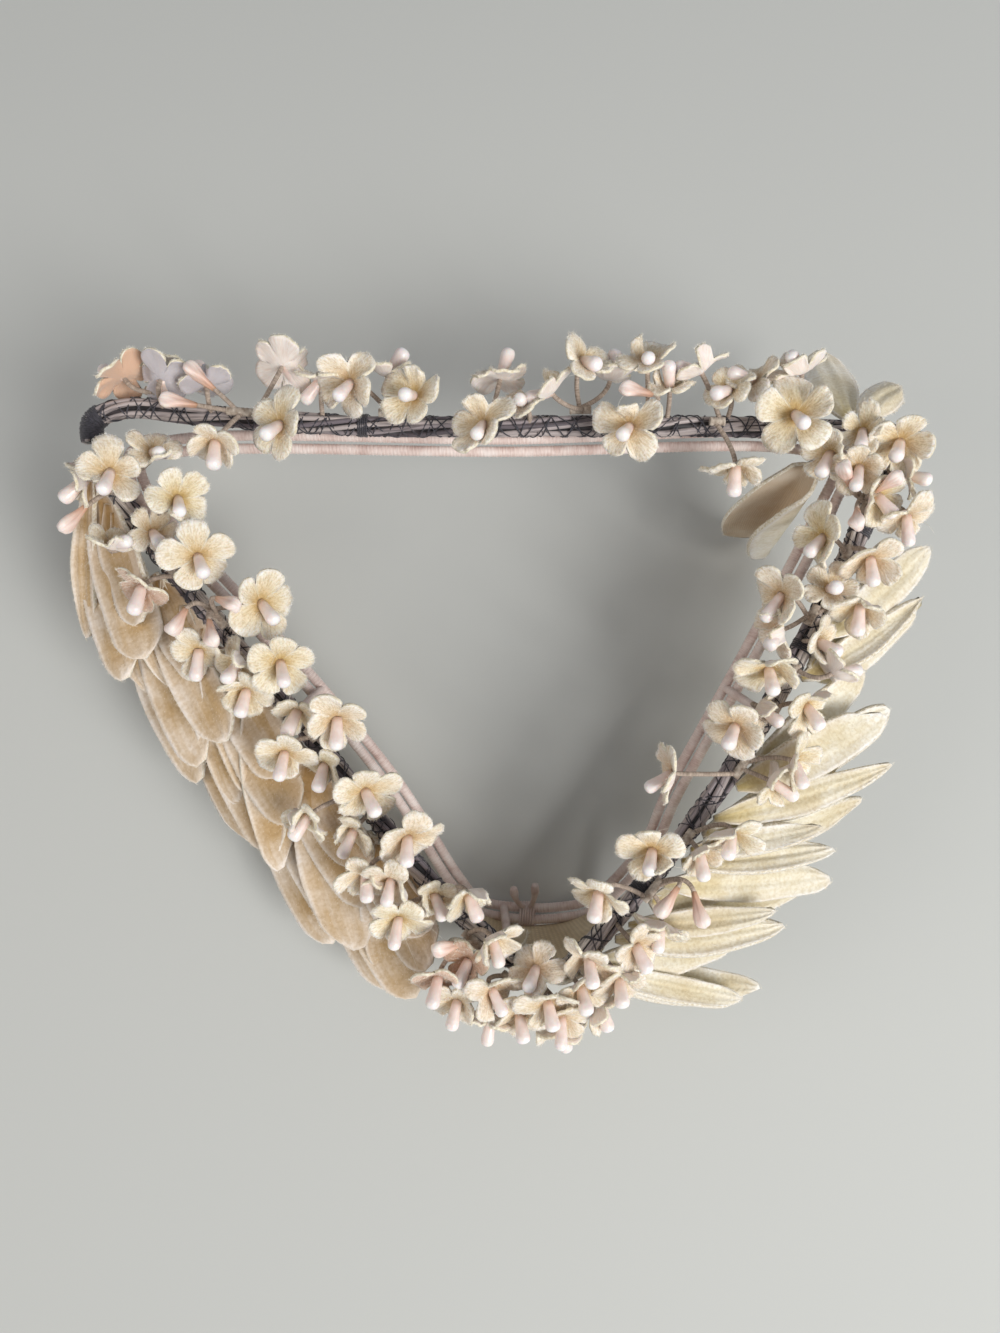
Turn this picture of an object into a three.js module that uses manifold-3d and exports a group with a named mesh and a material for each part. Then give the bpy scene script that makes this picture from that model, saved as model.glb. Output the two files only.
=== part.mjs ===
// Bridal headpiece: a silk-wrapped wire frame, flower stems bound along its rim, velvet leaves hanging
// down both sides and velvet blossoms with wax stamens all round. Millimetres and degrees, +Z up,
// the pointed front towards -Y and the straight back bar towards +Y.
import * as THREE from 'three';
import { mergeVertices } from 'three/addons/utils/BufferGeometryUtils.js';
import Module from 'manifold-3d';

const wasm = await Module();
wasm.setup();

// The rim lies on a plane that rises from the front point to the back bar.
// Across is to the right on that plane, back is towards the bar, lift is off the plane.
const RIM_HEIGHT = 38;
const RIM_TILT = 7;
const SAMPLES = 200;

// Walls, wires and gaps.
const STEM_RADIUS = 2.2;
const STEM_SIDES = 5;
const STEM_STEP = 13;
const WIRE_RADIUS = 1.15;
const STRUT_RADIUS = 1.0;
const TWIG_RADIUS = 0.55;
const TWIG_IN = 0.5;
const TWIG_STRAIGHT = 3.5;
const KNOT_RADIUS = 0.9;
const KNOT_SPACING = 1.3;
const PETAL_WALL = 1.1;
const LEAF_WALL = 1;
const SEAT_GAP = 0.35;

// Small tables: each row becomes an object with these column names.
function table(columns, rows) {
  return rows.map((row) => Object.fromEntries(columns.map((name, k) => [name, row[k]])));
}

// One blossom: five round petals cut in one piece, flat in the middle and cupped from the notches out,
// with one wax stamen that droops to the front. Turn is a share of a petal, reach a share of the radius.
const PETALS = 5;
const PETAL_NOTCH = 0.55;
const PETAL_EDGE = table(['turn', 'reach'], [[0, PETAL_NOTCH], [0.21, 1], [0.79, 1]]);
const PETAL_CUP = 0.26;
const PETAL_FOLD = 0.55;
const SPIN_STEP = 26;
const STAMEN_SIDES = 3;
const STAMEN_SINK = 0.9;
const STAMEN_DROOP = new THREE.Vector3(0, -0.7, 0);
const STAMEN_PROFILE = table(['radius', 'height'], [[0, 0], [1.3, 4.6], [0, 6.2]]);
const BUD_SIDES = 4;
const BUD_RADIUS = 1.5;
const BUD_PROFILE = table(['radius', 'height'], [[0, 0], [0.5, 0.35], [1, 0.8], [0, 1]]);

// The bound stems run down the left side to the front point, up the right side, and along the back bar.
const STEM_ROUTES = {
  stem_left: table(['across', 'back', 'lift'], [
    [-84.2, 43.8, 0], [-73, 26.5, 0], [-42, -11, 0], [-13, -46.5, 0], [8.6, -66.4, 0],
  ]),
  stem_right: table(['across', 'back', 'lift'], [
    [13.6, -63.4, 0], [28, -48, 0], [48.5, -21, 0], [66, 10, 0], [78.6, 38, 0], [78.8, 44.2, 0],
  ]),
  stem_back: table(['across', 'back', 'lift'], [
    [76.5, 48.8, 0], [46, 50, 0], [12, 50, 0], [-30, 50.2, 0], [-62, 52.3, 0],
    [-78, 53.8, 0], [-84.6, 51, 0], [-84.8, 46.6, 0],
  ]),
};

// The frame's inner wire: level with the rim at the back bar, down near the table at the front.
const WIRE_ROUTE = table(['across', 'back', 'lift'], [
  [66, 45.8, -4.9], [0, 45.8, -4.9], [-68, 45.8, -4.9], [-76.5, 43.6, -5], [-75, 37, -6],
  [-50, 8, -11], [-23.7, -25, -17.5], [-9.5, -49.6, -26.4], [-5, -55.4, -29], [3, -57.4, -29.9],
  [14, -57.4, -29.9], [21.5, -55.4, -29], [33, -41.5, -23], [38, -28, -18], [54, 4, -11],
  [69, 35, -6.4], [71.5, 42.5, -5.2],
]);

// The second wire runs beside the first, outwards and higher.
const WIRE_OUT = 2.3;
const WIRE_UP = 1.6;
const WIRE_STEPS = 28;
const WIRE_SIDES = 5;

// Ties from the wires up to the bound stems, by their place along a stem.
const STRUTS = table(['stem', 'along'], [['stem_left', 136], ['stem_left', 68], ['stem_right', 68]]);

// Velvet leaves. Each one leaves its stem, reaches out and sinks to where its blade begins, then flows
// along the stem, turned outwards by some degrees. Sprays of leaves share one tie.
const LEAF_OUTLINE = table(['along', 'half'], [
  [0, 0.18], [0.3, 0.64], [0.75, 1], [1, 0.35],
]);
const LEAF_TIE = 0.65;
const LEAF_FACE = 24;
const WING_ROWS = {
  stem_left: table(['reach', 'sink', 'flow', 'length', 'width', 'rise'], [
    [10, 6.5, 4, 36, 12, 1.5], [17.5, 14, 6, 38, 12.6, 2], [25, 22.5, 7, 38, 12.6, 2.5],
  ]),
  stem_right: table(['reach', 'sink', 'flow', 'length', 'width', 'rise'], [
    [8, 7, 15, 38, 10, 5.5], [14, 13.5, 27, 37, 10.5, 5.5],
  ]),
};
const SPRAYS = table(['name', 'stem', 'along', 'spread', 'turn', 'size'], [
  ['leaves_left_1', 'stem_left', 6, 0.65, 8, 1],
  ['leaves_left_2', 'stem_left', 28.2, 0.83, 6.2, 1],
  ['leaves_left_3', 'stem_left', 50.8, 0.94, 3.2, 1],
  ['leaves_left_4', 'stem_left', 74.4, 0.95, 0.8, 1],
  ['leaves_left_5', 'stem_left', 98, 0.85, 0, 0.86],
  ['leaves_right_1', 'stem_right', 6, 1, 16, 0.8],
  ['leaves_right_2', 'stem_right', 23, 1, 6, 0.85],
  ['leaves_right_3', 'stem_right', 41, 1, 2, 0.9],
  ['leaves_right_4', 'stem_right', 59, 1, -2, 0.76],
  ['leaves_right_5', 'stem_right', 82, 0.8, -9, 0.72],
]);

// Leaves that hang alone: the place on the stem, how far to the side the tie is, and the tip over the table.
const HANG_BEND = 0.4;
const HANG_BOW = 3;
const HANGING = table(['name', 'stem', 'along', 'out', 'across', 'back', 'height', 'width'], [
  ['leaf_corner_left', 'stem_left', 2, 3.2, -95, 27, 0.3, 12],
  ['leaf_corner_right', 'stem_back', 12, -7.4, 63, 30, 0.1, 14],
  ['leaf_corner_back', 'stem_back', 4, 2.5, 73, 76, 24, 11],
  ['leaf_corner_side', 'stem_back', 1, 2.7, 84, 58, 44, 8],
  ['leaf_front_left', 'stem_left', 128, 3.2, -1, -63.5, 5, 11],
  ['leaf_front_right', 'stem_right', 3, 3.2, 17, -63.5, 5, 10],
]);

// Blossoms, by sprig: the place of each flower's back on the rim plane, the way it faces seen from above,
// how far it leans that way from facing straight up off the rim, and its width.
const BLOSSOMS = table(['sprig', 'across', 'back', 'lift', 'toward', 'lean', 'width'], [
  ['back_1', -76, 59, 3, 115, 80, 12],
  ['back_1', -66, 60, 0, 80, 85, 11],
  ['back_2', -43, 59.5, 6, 75, 110, 13],
  ['back_2', -43.4, 48, 9, 185, 30, 14],
  ['back_2', -57, 45.5, 7, 255, 55, 12],
  ['back_3', -29.6, 57, 7, 200, 40, 14],
  ['back_3', -17, 54, 8, 170, 20, 14],
  ['back_4', -3, 48, 9, 160, 40, 14],
  ['back_4', 0, 58.5, 4, 80, 95, 13],
  ['back_5', 10.6, 55, 6, 130, 75, 12],
  ['back_5', 16.4, 61, 7, 45, 45, 13],
  ['back_6', 29.6, 61, 7, 100, 50, 13],
  ['back_6', 26, 47.6, 9, 180, 30, 14],
  ['back_7', 41, 59.5, 5, 125, 75, 13],
  ['back_7', 47.6, 41, 6, 270, 80, 13],
  ['back_8', 58.4, 49.8, 10, 200, 12, 16],
  ['back_8', 61, 59, 6, 110, 75, 13],
  ['back_9', 80, 45, 8, 235, 35, 14],
  ['right_1', 65.4, 26, 7, 190, 65, 13],
  ['right_1', 74, 22, 8, 260, 50, 13],
  ['right_2', 82, 31, 6, 275, 65, 12],
  ['right_3', 57, 14.5, 7, 200, 60, 13],
  ['right_3', 72.8, 12.6, 6, 250, 60, 13],
  ['right_4', 53.4, 0, 9, 270, 50, 14],
  ['right_4', 66.6, -1.5, 7, 40, 95, 12],
  ['right_5', 47, -11.5, 9, 230, 45, 14],
  ['right_5', 61.6, -7.8, 5, 330, 50, 13],
  ['right_6', 35, -21.4, 8, 175, 85, 13],
  ['right_6', 54.4, -23, 5, 335, 70, 12],
  ['right_7', 30.2, -36.4, 10, 205, 20, 14],
  ['right_7', 46.6, -33, 7, 265, 55, 13],
  ['right_8', 20, -44.6, 8, 240, 60, 13],
  ['right_8', 33, -52, 4, 250, 65, 12],
  ['front_1', 18, -58, 8, 240, 60, 12],
  ['front_1', 20.4, -69, 2, 310, 75, 12],
  ['front_2', 9.4, -66.6, 8, 290, 40, 13],
  ['front_2', 12, -75, -2, 275, 85, 12],
  ['front_3', -2, -64.4, 7, 315, 50, 13],
  ['front_3', -1.6, -72, 0, 250, 75, 12],
  ['left_1', -84, 38, 4.5, 190, 70, 11],
  ['left_1', -77.6, 38.6, 9, 350, 30, 13],
  ['left_2', -64.6, 33.4, 8, 5, 40, 14],
  ['left_2', -79, 24, 6, 70, 95, 11],
  ['left_3', -60.2, 22, 9, 320, 30, 14],
  ['left_3', -72, 16.6, 5.8, 215, 75, 12],
  ['left_4', -48, 12.6, 8, 0, 40, 14],
  ['left_5', -61, 3.6, 5, 270, 50, 12],
  ['left_5', -51, -4.4, 6, 255, 65, 12],
  ['left_5', -43.6, 1, 10, 315, 35, 14],
  ['left_6', -32.4, -10, 9, 285, 40, 14],
  ['left_6', -43.4, -17, 6, 270, 55, 13],
  ['left_7', -27, -24.4, 9, 305, 40, 14],
  ['left_7', -38.4, -30, 5.6, 200, 75, 12],
  ['left_8', -18.6, -33.6, 9, 300, 45, 14],
  ['left_8', -27, -41.6, 6, 260, 75, 12],
  ['left_9', -20.6, -50.6, 5, 275, 55, 13],
  ['left_9', -6.6, -45, 8, 300, 60, 12],
  ['left_10', -1.8, -54, 8, 305, 55, 12],
  ['left_10', -12.4, -62.4, 5, 260, 70, 12],
  ['left_1', -70.5, 43, 5, 60, 35, 12],
  ['left_5', -52, 1, 6.6, 215, 45, 12],
  ['left_8', -21.5, -42, 8, 250, 55, 12],
  ['right_2', 66.5, 43, 7, 230, 45, 12],
  ['back_9', 82, 39, 4, 20, 60, 11],
  ['right_3', 57.5, 7.4, 4, 195, 75, 12],
  ['right_6', 59.2, -19, 5, 335, 60, 12],
  ['back_5', 22.6, 58.6, 2.6, 85, 80, 12],
  ['back_8', 52, 57.6, 5, 140, 60, 12],
]);

// Closed buds on the same sprigs.
const BUDS = table(['sprig', 'across', 'back', 'lift', 'toward', 'lean', 'length'], [
  ['back_2', -57.6, 56, 5, 140, 70, 8],
  ['back_2', -61, 53, 5, 175, 70, 8],
  ['back_6', 31, 54.4, 8, 175, 70, 8],
  ['right_2', 70, 36, 8, 130, 45, 7],
  ['right_2', 74.4, 34.6, 9, 40, 40, 7],
  ['right_2', 71, 31.6, 9, 250, 45, 7],
  ['right_8', 36, -44, 7, 230, 70, 8],
  ['right_8', 39, -45, 6, 285, 75, 8],
  ['left_1', -84, 33, 4, 230, 70, 8],
  ['left_4', -62.4, 11.8, 8.4, 245, 60, 7],
  ['left_4', -58, 9.6, 9, 290, 60, 7],
  ['left_4', -56.4, 13.6, 10, 340, 60, 7],
  ['left_10', -7.4, -56, 6, 185, 65, 7],
]);

const COLOURS = {
  wire: '#d8bfae', stem: '#4a4a52', leaf: '#ddcf9f', blossom: '#e8dbb4',
};

// Helpers.
const radians = THREE.MathUtils.degToRad;

function point(row) {
  return new THREE.Vector3(row.across, row.back, row.lift);
}

function direction(toward, lean) {
  const level = Math.sin(radians(lean));
  return new THREE.Vector3(
    level * Math.cos(radians(toward)), level * Math.sin(radians(toward)), Math.cos(radians(lean)));
}

function ring(radius, sides) {
  return new THREE.Shape(Array.from({ length: sides }, (_, k) => {
    const angle = (k + 0.5) * 2 * Math.PI / sides;
    return new THREE.Vector2(radius * Math.cos(angle), radius * Math.sin(angle));
  }));
}

function tube(path, radius, sides, steps) {
  return new THREE.ExtrudeGeometry(ring(radius, sides), { extrudePath: path, steps, bevelEnabled: false });
}

// A closed geometry as a solid that can be joined to others, and back.
function solid(geometry) {
  const bare = geometry.clone();
  bare.deleteAttribute('normal');
  bare.deleteAttribute('uv');
  const merged = mergeVertices(bare, 1e-4);
  return new wasm.Manifold(new wasm.Mesh({
    numProp: 3,
    vertProperties: merged.attributes.position.array,
    triVerts: new Uint32Array(merged.index.array),
  }));
}

function joined(geometries) {
  const mesh = wasm.Manifold.union(geometries.map(solid)).getMesh();
  const geometry = new THREE.BufferGeometry();
  geometry.setAttribute('position', new THREE.BufferAttribute(mesh.vertProperties, 3));
  geometry.setIndex(new THREE.BufferAttribute(mesh.triVerts, 1));
  geometry.computeVertexNormals();
  return geometry;
}

function piece(name, geometry, colour) {
  const material = new THREE.MeshStandardMaterial({ color: colour, roughness: 0.9 });
  const mesh = new THREE.Mesh(geometry, material);
  mesh.name = name;
  return mesh;
}

// The rim's own group, tilted as the headpiece stands.
const rim = new THREE.Group();
rim.rotation.x = radians(RIM_TILT);
rim.position.z = RIM_HEIGHT;
rim.updateMatrixWorld(true);

const headpiece = new THREE.Group();
headpiece.add(rim);

// Bound stems.
const stemCurves = {};
for (const [name, route] of Object.entries(STEM_ROUTES)) {
  stemCurves[name] = new THREE.CatmullRomCurve3(route.map(point), false, 'centripetal');
  const steps = Math.round(stemCurves[name].getLength() / STEM_STEP);
  rim.add(piece(name, tube(stemCurves[name], STEM_RADIUS, STEM_SIDES, steps), COLOURS.stem));
}

// Silk-wrapped wires: two loops side by side, tied to each other and to the rim.
function besideWire(route) {
  const count = route.length;
  return route.map((row, k) => {
    const before = point(route[(k + count - 1) % count]);
    const after = point(route[(k + 1) % count]);
    const along = after.sub(before).normalize();
    return point(row).add(new THREE.Vector3(along.y * WIRE_OUT, -along.x * WIRE_OUT, WIRE_UP));
  });
}

const innerWire = new THREE.CatmullRomCurve3(WIRE_ROUTE.map(point), true, 'centripetal');
const outerWire = new THREE.CatmullRomCurve3(besideWire(WIRE_ROUTE), true, 'centripetal');
const wires = [innerWire, outerWire].map(
  (loop) => new THREE.TubeGeometry(loop, WIRE_STEPS, WIRE_RADIUS, WIRE_SIDES, true));
const wirePlaces = innerWire.getSpacedPoints(SAMPLES);
for (const strut of STRUTS) {
  const curve = stemCurves[strut.stem];
  const top = curve.getPointAt(strut.along / curve.getLength());
  const foot = wirePlaces.reduce((best, next) => (
    next.distanceTo(top) < best.distanceTo(top) ? next : best));
  const down = foot.clone().sub(top).normalize();
  top.addScaledVector(down, STEM_RADIUS + SEAT_GAP);
  wires.push(tube(new THREE.LineCurve3(foot, top), STRUT_RADIUS, 4, 1));
}
rim.add(piece('wire_frame', joined(wires), COLOURS.wire));

// Leaves are set out over the table rather than on the tilted rim.
const UP = new THREE.Vector3(0, 0, 1);

function stemPlace(name, along) {
  const curve = stemCurves[name];
  const share = Math.min(1, along / curve.getLength());
  const place = curve.getPointAt(share).applyMatrix4(rim.matrixWorld);
  const flow = curve.getTangentAt(share).setZ(0).normalize();
  return { place, flow, out: new THREE.Vector3(flow.y, -flow.x, 0) };
}

// A thin blade along a curve, its upper face turned towards the given side.
function leafGeometry(path, width, out) {
  const rows = LEAF_OUTLINE.length - 1;
  const geometry = new THREE.BoxGeometry(2, rows, LEAF_WALL, 1, rows, 1);
  const corners = geometry.attributes.position;
  const face = UP.clone().multiplyScalar(Math.cos(radians(LEAF_FACE)));
  face.addScaledVector(out, Math.sin(radians(LEAF_FACE)));
  for (let k = 0; k < corners.count; k += 1) {
    const outline = LEAF_OUTLINE[Math.round(corners.getY(k) + rows / 2)];
    const along = path.getTangentAt(outline.along);
    const across = along.clone().cross(face).normalize();
    const normal = across.clone().cross(along);
    const side = corners.getX(k);
    const half = outline.half * width / 2;
    const corner = path.getPointAt(outline.along).addScaledVector(across, side * half);
    corner.addScaledVector(normal, corners.getZ(k));
    corners.setXYZ(k, corner.x, corner.y, corner.z);
  }
  return geometry;
}

for (const spray of SPRAYS) {
  const { place, flow, out } = stemPlace(spray.stem, spray.along);
  const tie = place.clone().addScaledVector(out, STEM_RADIUS + LEAF_TIE);
  const leaves = WING_ROWS[spray.stem].map((row) => {
    const blade = place.clone().addScaledVector(out, row.reach * spray.spread);
    blade.z -= row.sink;
    const heading = flow.clone().applyAxisAngle(UP, -radians(row.flow + spray.turn));
    const tip = blade.clone().addScaledVector(heading, row.length * spray.size);
    tip.z += row.rise;
    const path = new THREE.QuadraticBezierCurve3(tie, blade, tip);
    return leafGeometry(path, row.width, out);
  });
  headpiece.add(piece(spray.name, joined(leaves), COLOURS.leaf));
}

for (const leaf of HANGING) {
  const { place, out } = stemPlace(leaf.stem, leaf.along);
  const side = out.clone().multiplyScalar(Math.sign(leaf.out));
  const tie = place.clone().addScaledVector(out, leaf.out);
  const tip = new THREE.Vector3(leaf.across, leaf.back, leaf.height);
  const bend = tie.clone().lerp(tip, HANG_BEND).addScaledVector(side, HANG_BOW);
  const path = new THREE.QuadraticBezierCurve3(tie, bend, tip);
  headpiece.add(piece(leaf.name, leafGeometry(path, leaf.width, side), COLOURS.leaf));
}

// Blossoms and buds, joined by their twigs into sprigs.
function turned(profile, sides) {
  const points = profile.map((row) => new THREE.Vector2(row.radius, row.height));
  return new THREE.LatheGeometry(points, sides).rotateX(Math.PI / 2);
}

function petalGeometry(width, number) {
  const radius = width / 2;
  const outline = [];
  for (let petal = 0; petal < PETALS; petal += 1) {
    for (const edge of PETAL_EDGE) {
      const angle = (petal + edge.turn) * 2 * Math.PI / PETALS;
      const reach = edge.reach * radius;
      outline.push(new THREE.Vector2(reach * Math.cos(angle), reach * Math.sin(angle)));
    }
  }
  const petals = new THREE.ExtrudeGeometry(
    new THREE.Shape(outline), { depth: PETAL_WALL, bevelEnabled: false });
  const place = petals.attributes.position;
  for (let k = 0; k < place.count; k += 1) {
    const reach = Math.hypot(place.getX(k), place.getY(k)) / radius;
    const angle = Math.atan2(place.getY(k), place.getX(k));
    const curl = 1 + PETAL_FOLD * Math.cos(2 * angle + number);
    const rise = Math.max(0, (reach - PETAL_NOTCH) / (1 - PETAL_NOTCH));
    place.setZ(k, place.getZ(k) + PETAL_CUP * radius * rise * curl);
  }
  return petals;
}

// Puts a shape that stands on its own origin at a place, standing along an axis and spun about it.
function stood(geometry, place, axis, spin) {
  geometry.rotateZ(radians(spin));
  geometry.applyQuaternion(new THREE.Quaternion().setFromUnitVectors(new THREE.Vector3(0, 0, 1), axis));
  return geometry.translate(place.x, place.y, place.z);
}

// The nearest place on the bound stems, where a sprig's twigs are tied.
const rimPlaces = Object.values(stemCurves).flatMap((curve) => curve.getSpacedPoints(SAMPLES).map(
  (place, k) => ({ place, along: curve.getTangentAt(k / SAMPLES) })));

function rootOf(rows) {
  const middle = new THREE.Vector3();
  for (const row of rows) middle.add(point(row).divideScalar(rows.length));
  const nearest = rimPlaces.reduce((best, next) => (
    next.place.distanceTo(middle) < best.place.distanceTo(middle) ? next : best));
  const off = middle.clone().sub(nearest.place);
  off.addScaledVector(nearest.along, -off.dot(nearest.along)).normalize();
  const root = nearest.place.clone().addScaledVector(off, STEM_RADIUS + SEAT_GAP + KNOT_RADIUS);
  return { root, along: nearest.along };
}

function twig(row, root) {
  const axis = direction(row.toward, row.lean);
  const start = point(row).addScaledVector(axis, TWIG_IN);
  const leaving = point(row).addScaledVector(axis, -TWIG_STRAIGHT);
  return tube(new THREE.QuadraticBezierCurve3(start, leaving, root), TWIG_RADIUS, 3, 2);
}

const sprigNames = [...new Set(BLOSSOMS.map((row) => row.sprig))];
for (const name of sprigNames) {
  const blossoms = BLOSSOMS.filter((row) => row.sprig === name);
  const buds = BUDS.filter((row) => row.sprig === name);
  const { root, along } = rootOf([...blossoms, ...buds]);
  const count = blossoms.length + buds.length;
  const tied = (k) => root.clone().addScaledVector(along, KNOT_SPACING * (k - (count - 1) / 2));
  const shapes = [tube(new THREE.LineCurve3(tied(-0.7), tied(count - 0.3)), KNOT_RADIUS, 4, 1)];
  blossoms.forEach((row, k) => {
    const number = BLOSSOMS.indexOf(row) + 1;
    const axis = direction(row.toward, row.lean);
    shapes.push(stood(petalGeometry(row.width, number), point(row), axis, number * SPIN_STEP));
    const foot = point(row).addScaledVector(axis, PETAL_WALL - STAMEN_SINK);
    const stamen = turned(STAMEN_PROFILE, STAMEN_SIDES);
    shapes.push(stood(stamen, foot, axis.clone().add(STAMEN_DROOP).normalize(), 0), twig(row, tied(k)));
  });
  buds.forEach((row, k) => {
    const bud = turned(BUD_PROFILE, BUD_SIDES).scale(BUD_RADIUS, BUD_RADIUS, row.length);
    const axis = direction(row.toward, row.lean);
    shapes.push(stood(bud, point(row), axis, 0), twig(row, tied(blossoms.length + k)));
  });
  rim.add(piece(`sprig_${name}`, joined(shapes), COLOURS.blossom));
}

// The origin is the middle of the footprint, at the height of the table.
headpiece.updateMatrixWorld(true);
const box = new THREE.Box3().setFromObject(headpiece, true);
const middle = box.getCenter(new THREE.Vector3());
headpiece.children.forEach((child) => child.position.sub(new THREE.Vector3(middle.x, middle.y, box.min.z)));
headpiece.updateMatrixWorld(true);

export default headpiece;
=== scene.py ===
# %% [markdown]
# # A bridal headpiece of velvet, wax and silk-wrapped wire
# Two silk-wrapped wires make a frame for the head. Bundles of flower stems are bound along its rim,
# velvet leaves hang from them like two wings, and velvet blossoms with wax stamens stand on them all round.
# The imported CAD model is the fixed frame: it is loaded first, and each piece is made where its solid is.

# %% Load the frame
import math

import bmesh
import bpy
import numpy as np
from mathutils import Matrix, Vector


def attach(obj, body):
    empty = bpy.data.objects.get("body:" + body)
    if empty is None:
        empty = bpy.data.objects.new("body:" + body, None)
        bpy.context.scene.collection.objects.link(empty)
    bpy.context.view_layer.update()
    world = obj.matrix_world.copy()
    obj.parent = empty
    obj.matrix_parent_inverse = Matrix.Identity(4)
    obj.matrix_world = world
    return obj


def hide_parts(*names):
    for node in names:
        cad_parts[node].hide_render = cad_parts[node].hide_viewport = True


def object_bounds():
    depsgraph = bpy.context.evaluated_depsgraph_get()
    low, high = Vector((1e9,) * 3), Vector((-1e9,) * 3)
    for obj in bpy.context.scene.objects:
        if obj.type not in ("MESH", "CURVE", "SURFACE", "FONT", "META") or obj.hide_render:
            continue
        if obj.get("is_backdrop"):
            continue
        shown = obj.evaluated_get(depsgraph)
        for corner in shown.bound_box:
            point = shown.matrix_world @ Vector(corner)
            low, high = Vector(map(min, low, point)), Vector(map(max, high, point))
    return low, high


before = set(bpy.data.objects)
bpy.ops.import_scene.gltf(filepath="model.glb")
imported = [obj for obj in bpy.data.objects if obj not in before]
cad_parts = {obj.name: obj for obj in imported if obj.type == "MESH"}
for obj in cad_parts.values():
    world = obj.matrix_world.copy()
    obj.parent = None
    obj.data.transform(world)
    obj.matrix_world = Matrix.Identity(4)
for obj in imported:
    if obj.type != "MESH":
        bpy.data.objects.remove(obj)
cad_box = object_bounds()
print("CAD nodes:", len(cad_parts))

# %% [markdown]
# ## The rim plane and the camera
# The flowers stand round a rim that slopes down to the pointed front, and the picture is taken looking
# square down on it. So one matrix serves both: it places everything measured on the rim, and the camera
# hangs on it. Places are kept in millimetres until a mesh is made, as a maker measures such small work.

# %% Rim plane and camera
MM = 0.001
RIM_TILT = 7
RIM_PLACE = np.array([2.798, 2.091, 38.017])
EYE_LIFT = 202.6
IMAGE_HEIGHT = 1333
FOCAL_PIXELS = 973
SENSOR = 36
NEAR_CLIP = 0.01

rim_matrix = Matrix.Translation(RIM_PLACE * MM) @ Matrix.Rotation(math.radians(RIM_TILT), 4, "X")
RIM_TURN = np.array(rim_matrix.to_3x3())
RIM_UP = RIM_TURN[:, 2]


def from_rim(places):
    """Places on the rim (across, back, lift) as places in the frame, in millimetres."""
    return np.asarray(places, float) @ RIM_TURN.T + RIM_PLACE


def into_scene(name, data):
    """An object with this mesh, light or lens, put in the scene."""
    made = bpy.data.objects.new(name, data)
    bpy.context.scene.collection.objects.link(made)
    return made


lens = bpy.data.cameras.new("camera")
lens.sensor_width = SENSOR
lens.lens = SENSOR * FOCAL_PIXELS / IMAGE_HEIGHT
lens.clip_start = NEAR_CLIP
camera = into_scene("camera", lens)
camera.matrix_world = rim_matrix @ Matrix.Translation((0, 0, EYE_LIFT * MM))
bpy.context.scene.camera = camera
print("Lens:", round(lens.lens, 2), "mm, eye at", [round(value, 3) for value in camera.location])

# %% [markdown]
# ## Floor and light
# A pale floor and soft light show thin petals best: a large light high over the front and the right, a weak
# warm one low on the left, and an even light from all round that keeps the shadows open. Small lamps could
# do it too, but they draw hard shadows.

# %% Floor and light
FLOOR_SIZE = 3.0
LIGHT_SIZE = 0.5
FILL_COLOUR = (0.93, 0.95, 1.0, 1)
FILL_STRENGTH = 0.3


def paint(code):
    """A colour written as hex digits, as linear values for a socket."""
    shares = [int(code[k:k + 2], 16) / 255 for k in (0, 2, 4)]
    return [((c + 0.055) / 1.055) ** 2.4 if c > 0.04045 else c / 12.92 for c in shares] + [1]


def new_finish(name, sockets):
    """A material with plain numbers and colours set on its shader."""
    finish = bpy.data.materials.new(name)
    finish.use_nodes = True
    shader = finish.node_tree.nodes["Principled BSDF"]
    for socket, value in sockets.items():
        shader.inputs[socket].default_value = value
    print("Finish:", name)
    return finish


def mesh_of(name, bm, finishes):
    """A bmesh made into a mesh with its finishes."""
    mesh = bpy.data.meshes.new(name)
    bm.to_mesh(mesh)
    bm.free()
    for finish in finishes:
        mesh.materials.append(finish)
    return mesh


def hang_lamp(name, place, power, colour):
    """A square soft light that looks at the middle of the floor."""
    light = bpy.data.lights.new(name, "AREA")
    light.size = LIGHT_SIZE
    light.energy = power
    light.color = colour
    place = Vector(place)
    aim = (-place).to_track_quat("-Z", "Y").to_matrix().to_4x4()
    into_scene(name, light).matrix_world = Matrix.Translation(place) @ aim


floor_bm = bmesh.new()
bmesh.ops.create_grid(floor_bm, x_segments=1, y_segments=1, size=FLOOR_SIZE / 2)
floor_finish = new_finish("pale_floor", {"Base Color": paint("c6c8c5"), "Roughness": 0.9})
floor = into_scene("floor", mesh_of("floor", floor_bm, [floor_finish]))
floor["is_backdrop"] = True

hang_lamp("front_light", (0.55, -0.42, 0.72), 8.6, (1.0, 0.985, 0.96))
hang_lamp("left_light", (-0.7, -0.2, 0.45), 1.6, (1.0, 0.92, 0.82))
world = bpy.data.worlds.new("studio")
world.use_nodes = True
fill = world.node_tree.nodes["Background"]
fill.inputs["Color"].default_value = FILL_COLOUR
fill.inputs["Strength"].default_value = FILL_STRENGTH
bpy.context.scene.world = world
bpy.context.scene.view_settings.view_transform = "Standard"
print("Floor", FLOOR_SIZE, "m wide, two soft lights")

# %% [markdown]
# ## Helpers: routes, warped grids and tubes
# Stems, wires, twigs and leaves all follow a smooth line through a few points. A leaf, a petal or a tube
# is then a flat grid from one bmesh operator, whose vertices are moved to where a formula says. That keeps
# a UV map on every piece, which the pile, the winding and the veins follow later. Where the grid's edges
# meet, the doubles are merged, so seams and ends are closed. Curve objects with a bevel would do for the
# stems, but one helper for all of them is less to learn.

# %% Routes
CURVE_STEPS = 40
BOW_STEPS = 60


def unit(vectors):
    return vectors / np.linalg.norm(vectors, axis=-1, keepdims=True)


def length_of(line):
    return np.linalg.norm(np.diff(line, axis=0), axis=1).sum()


def nearest(places, place):
    """The number of the place that is nearest to another one."""
    return np.argmin(np.linalg.norm(places - place, axis=1))


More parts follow.
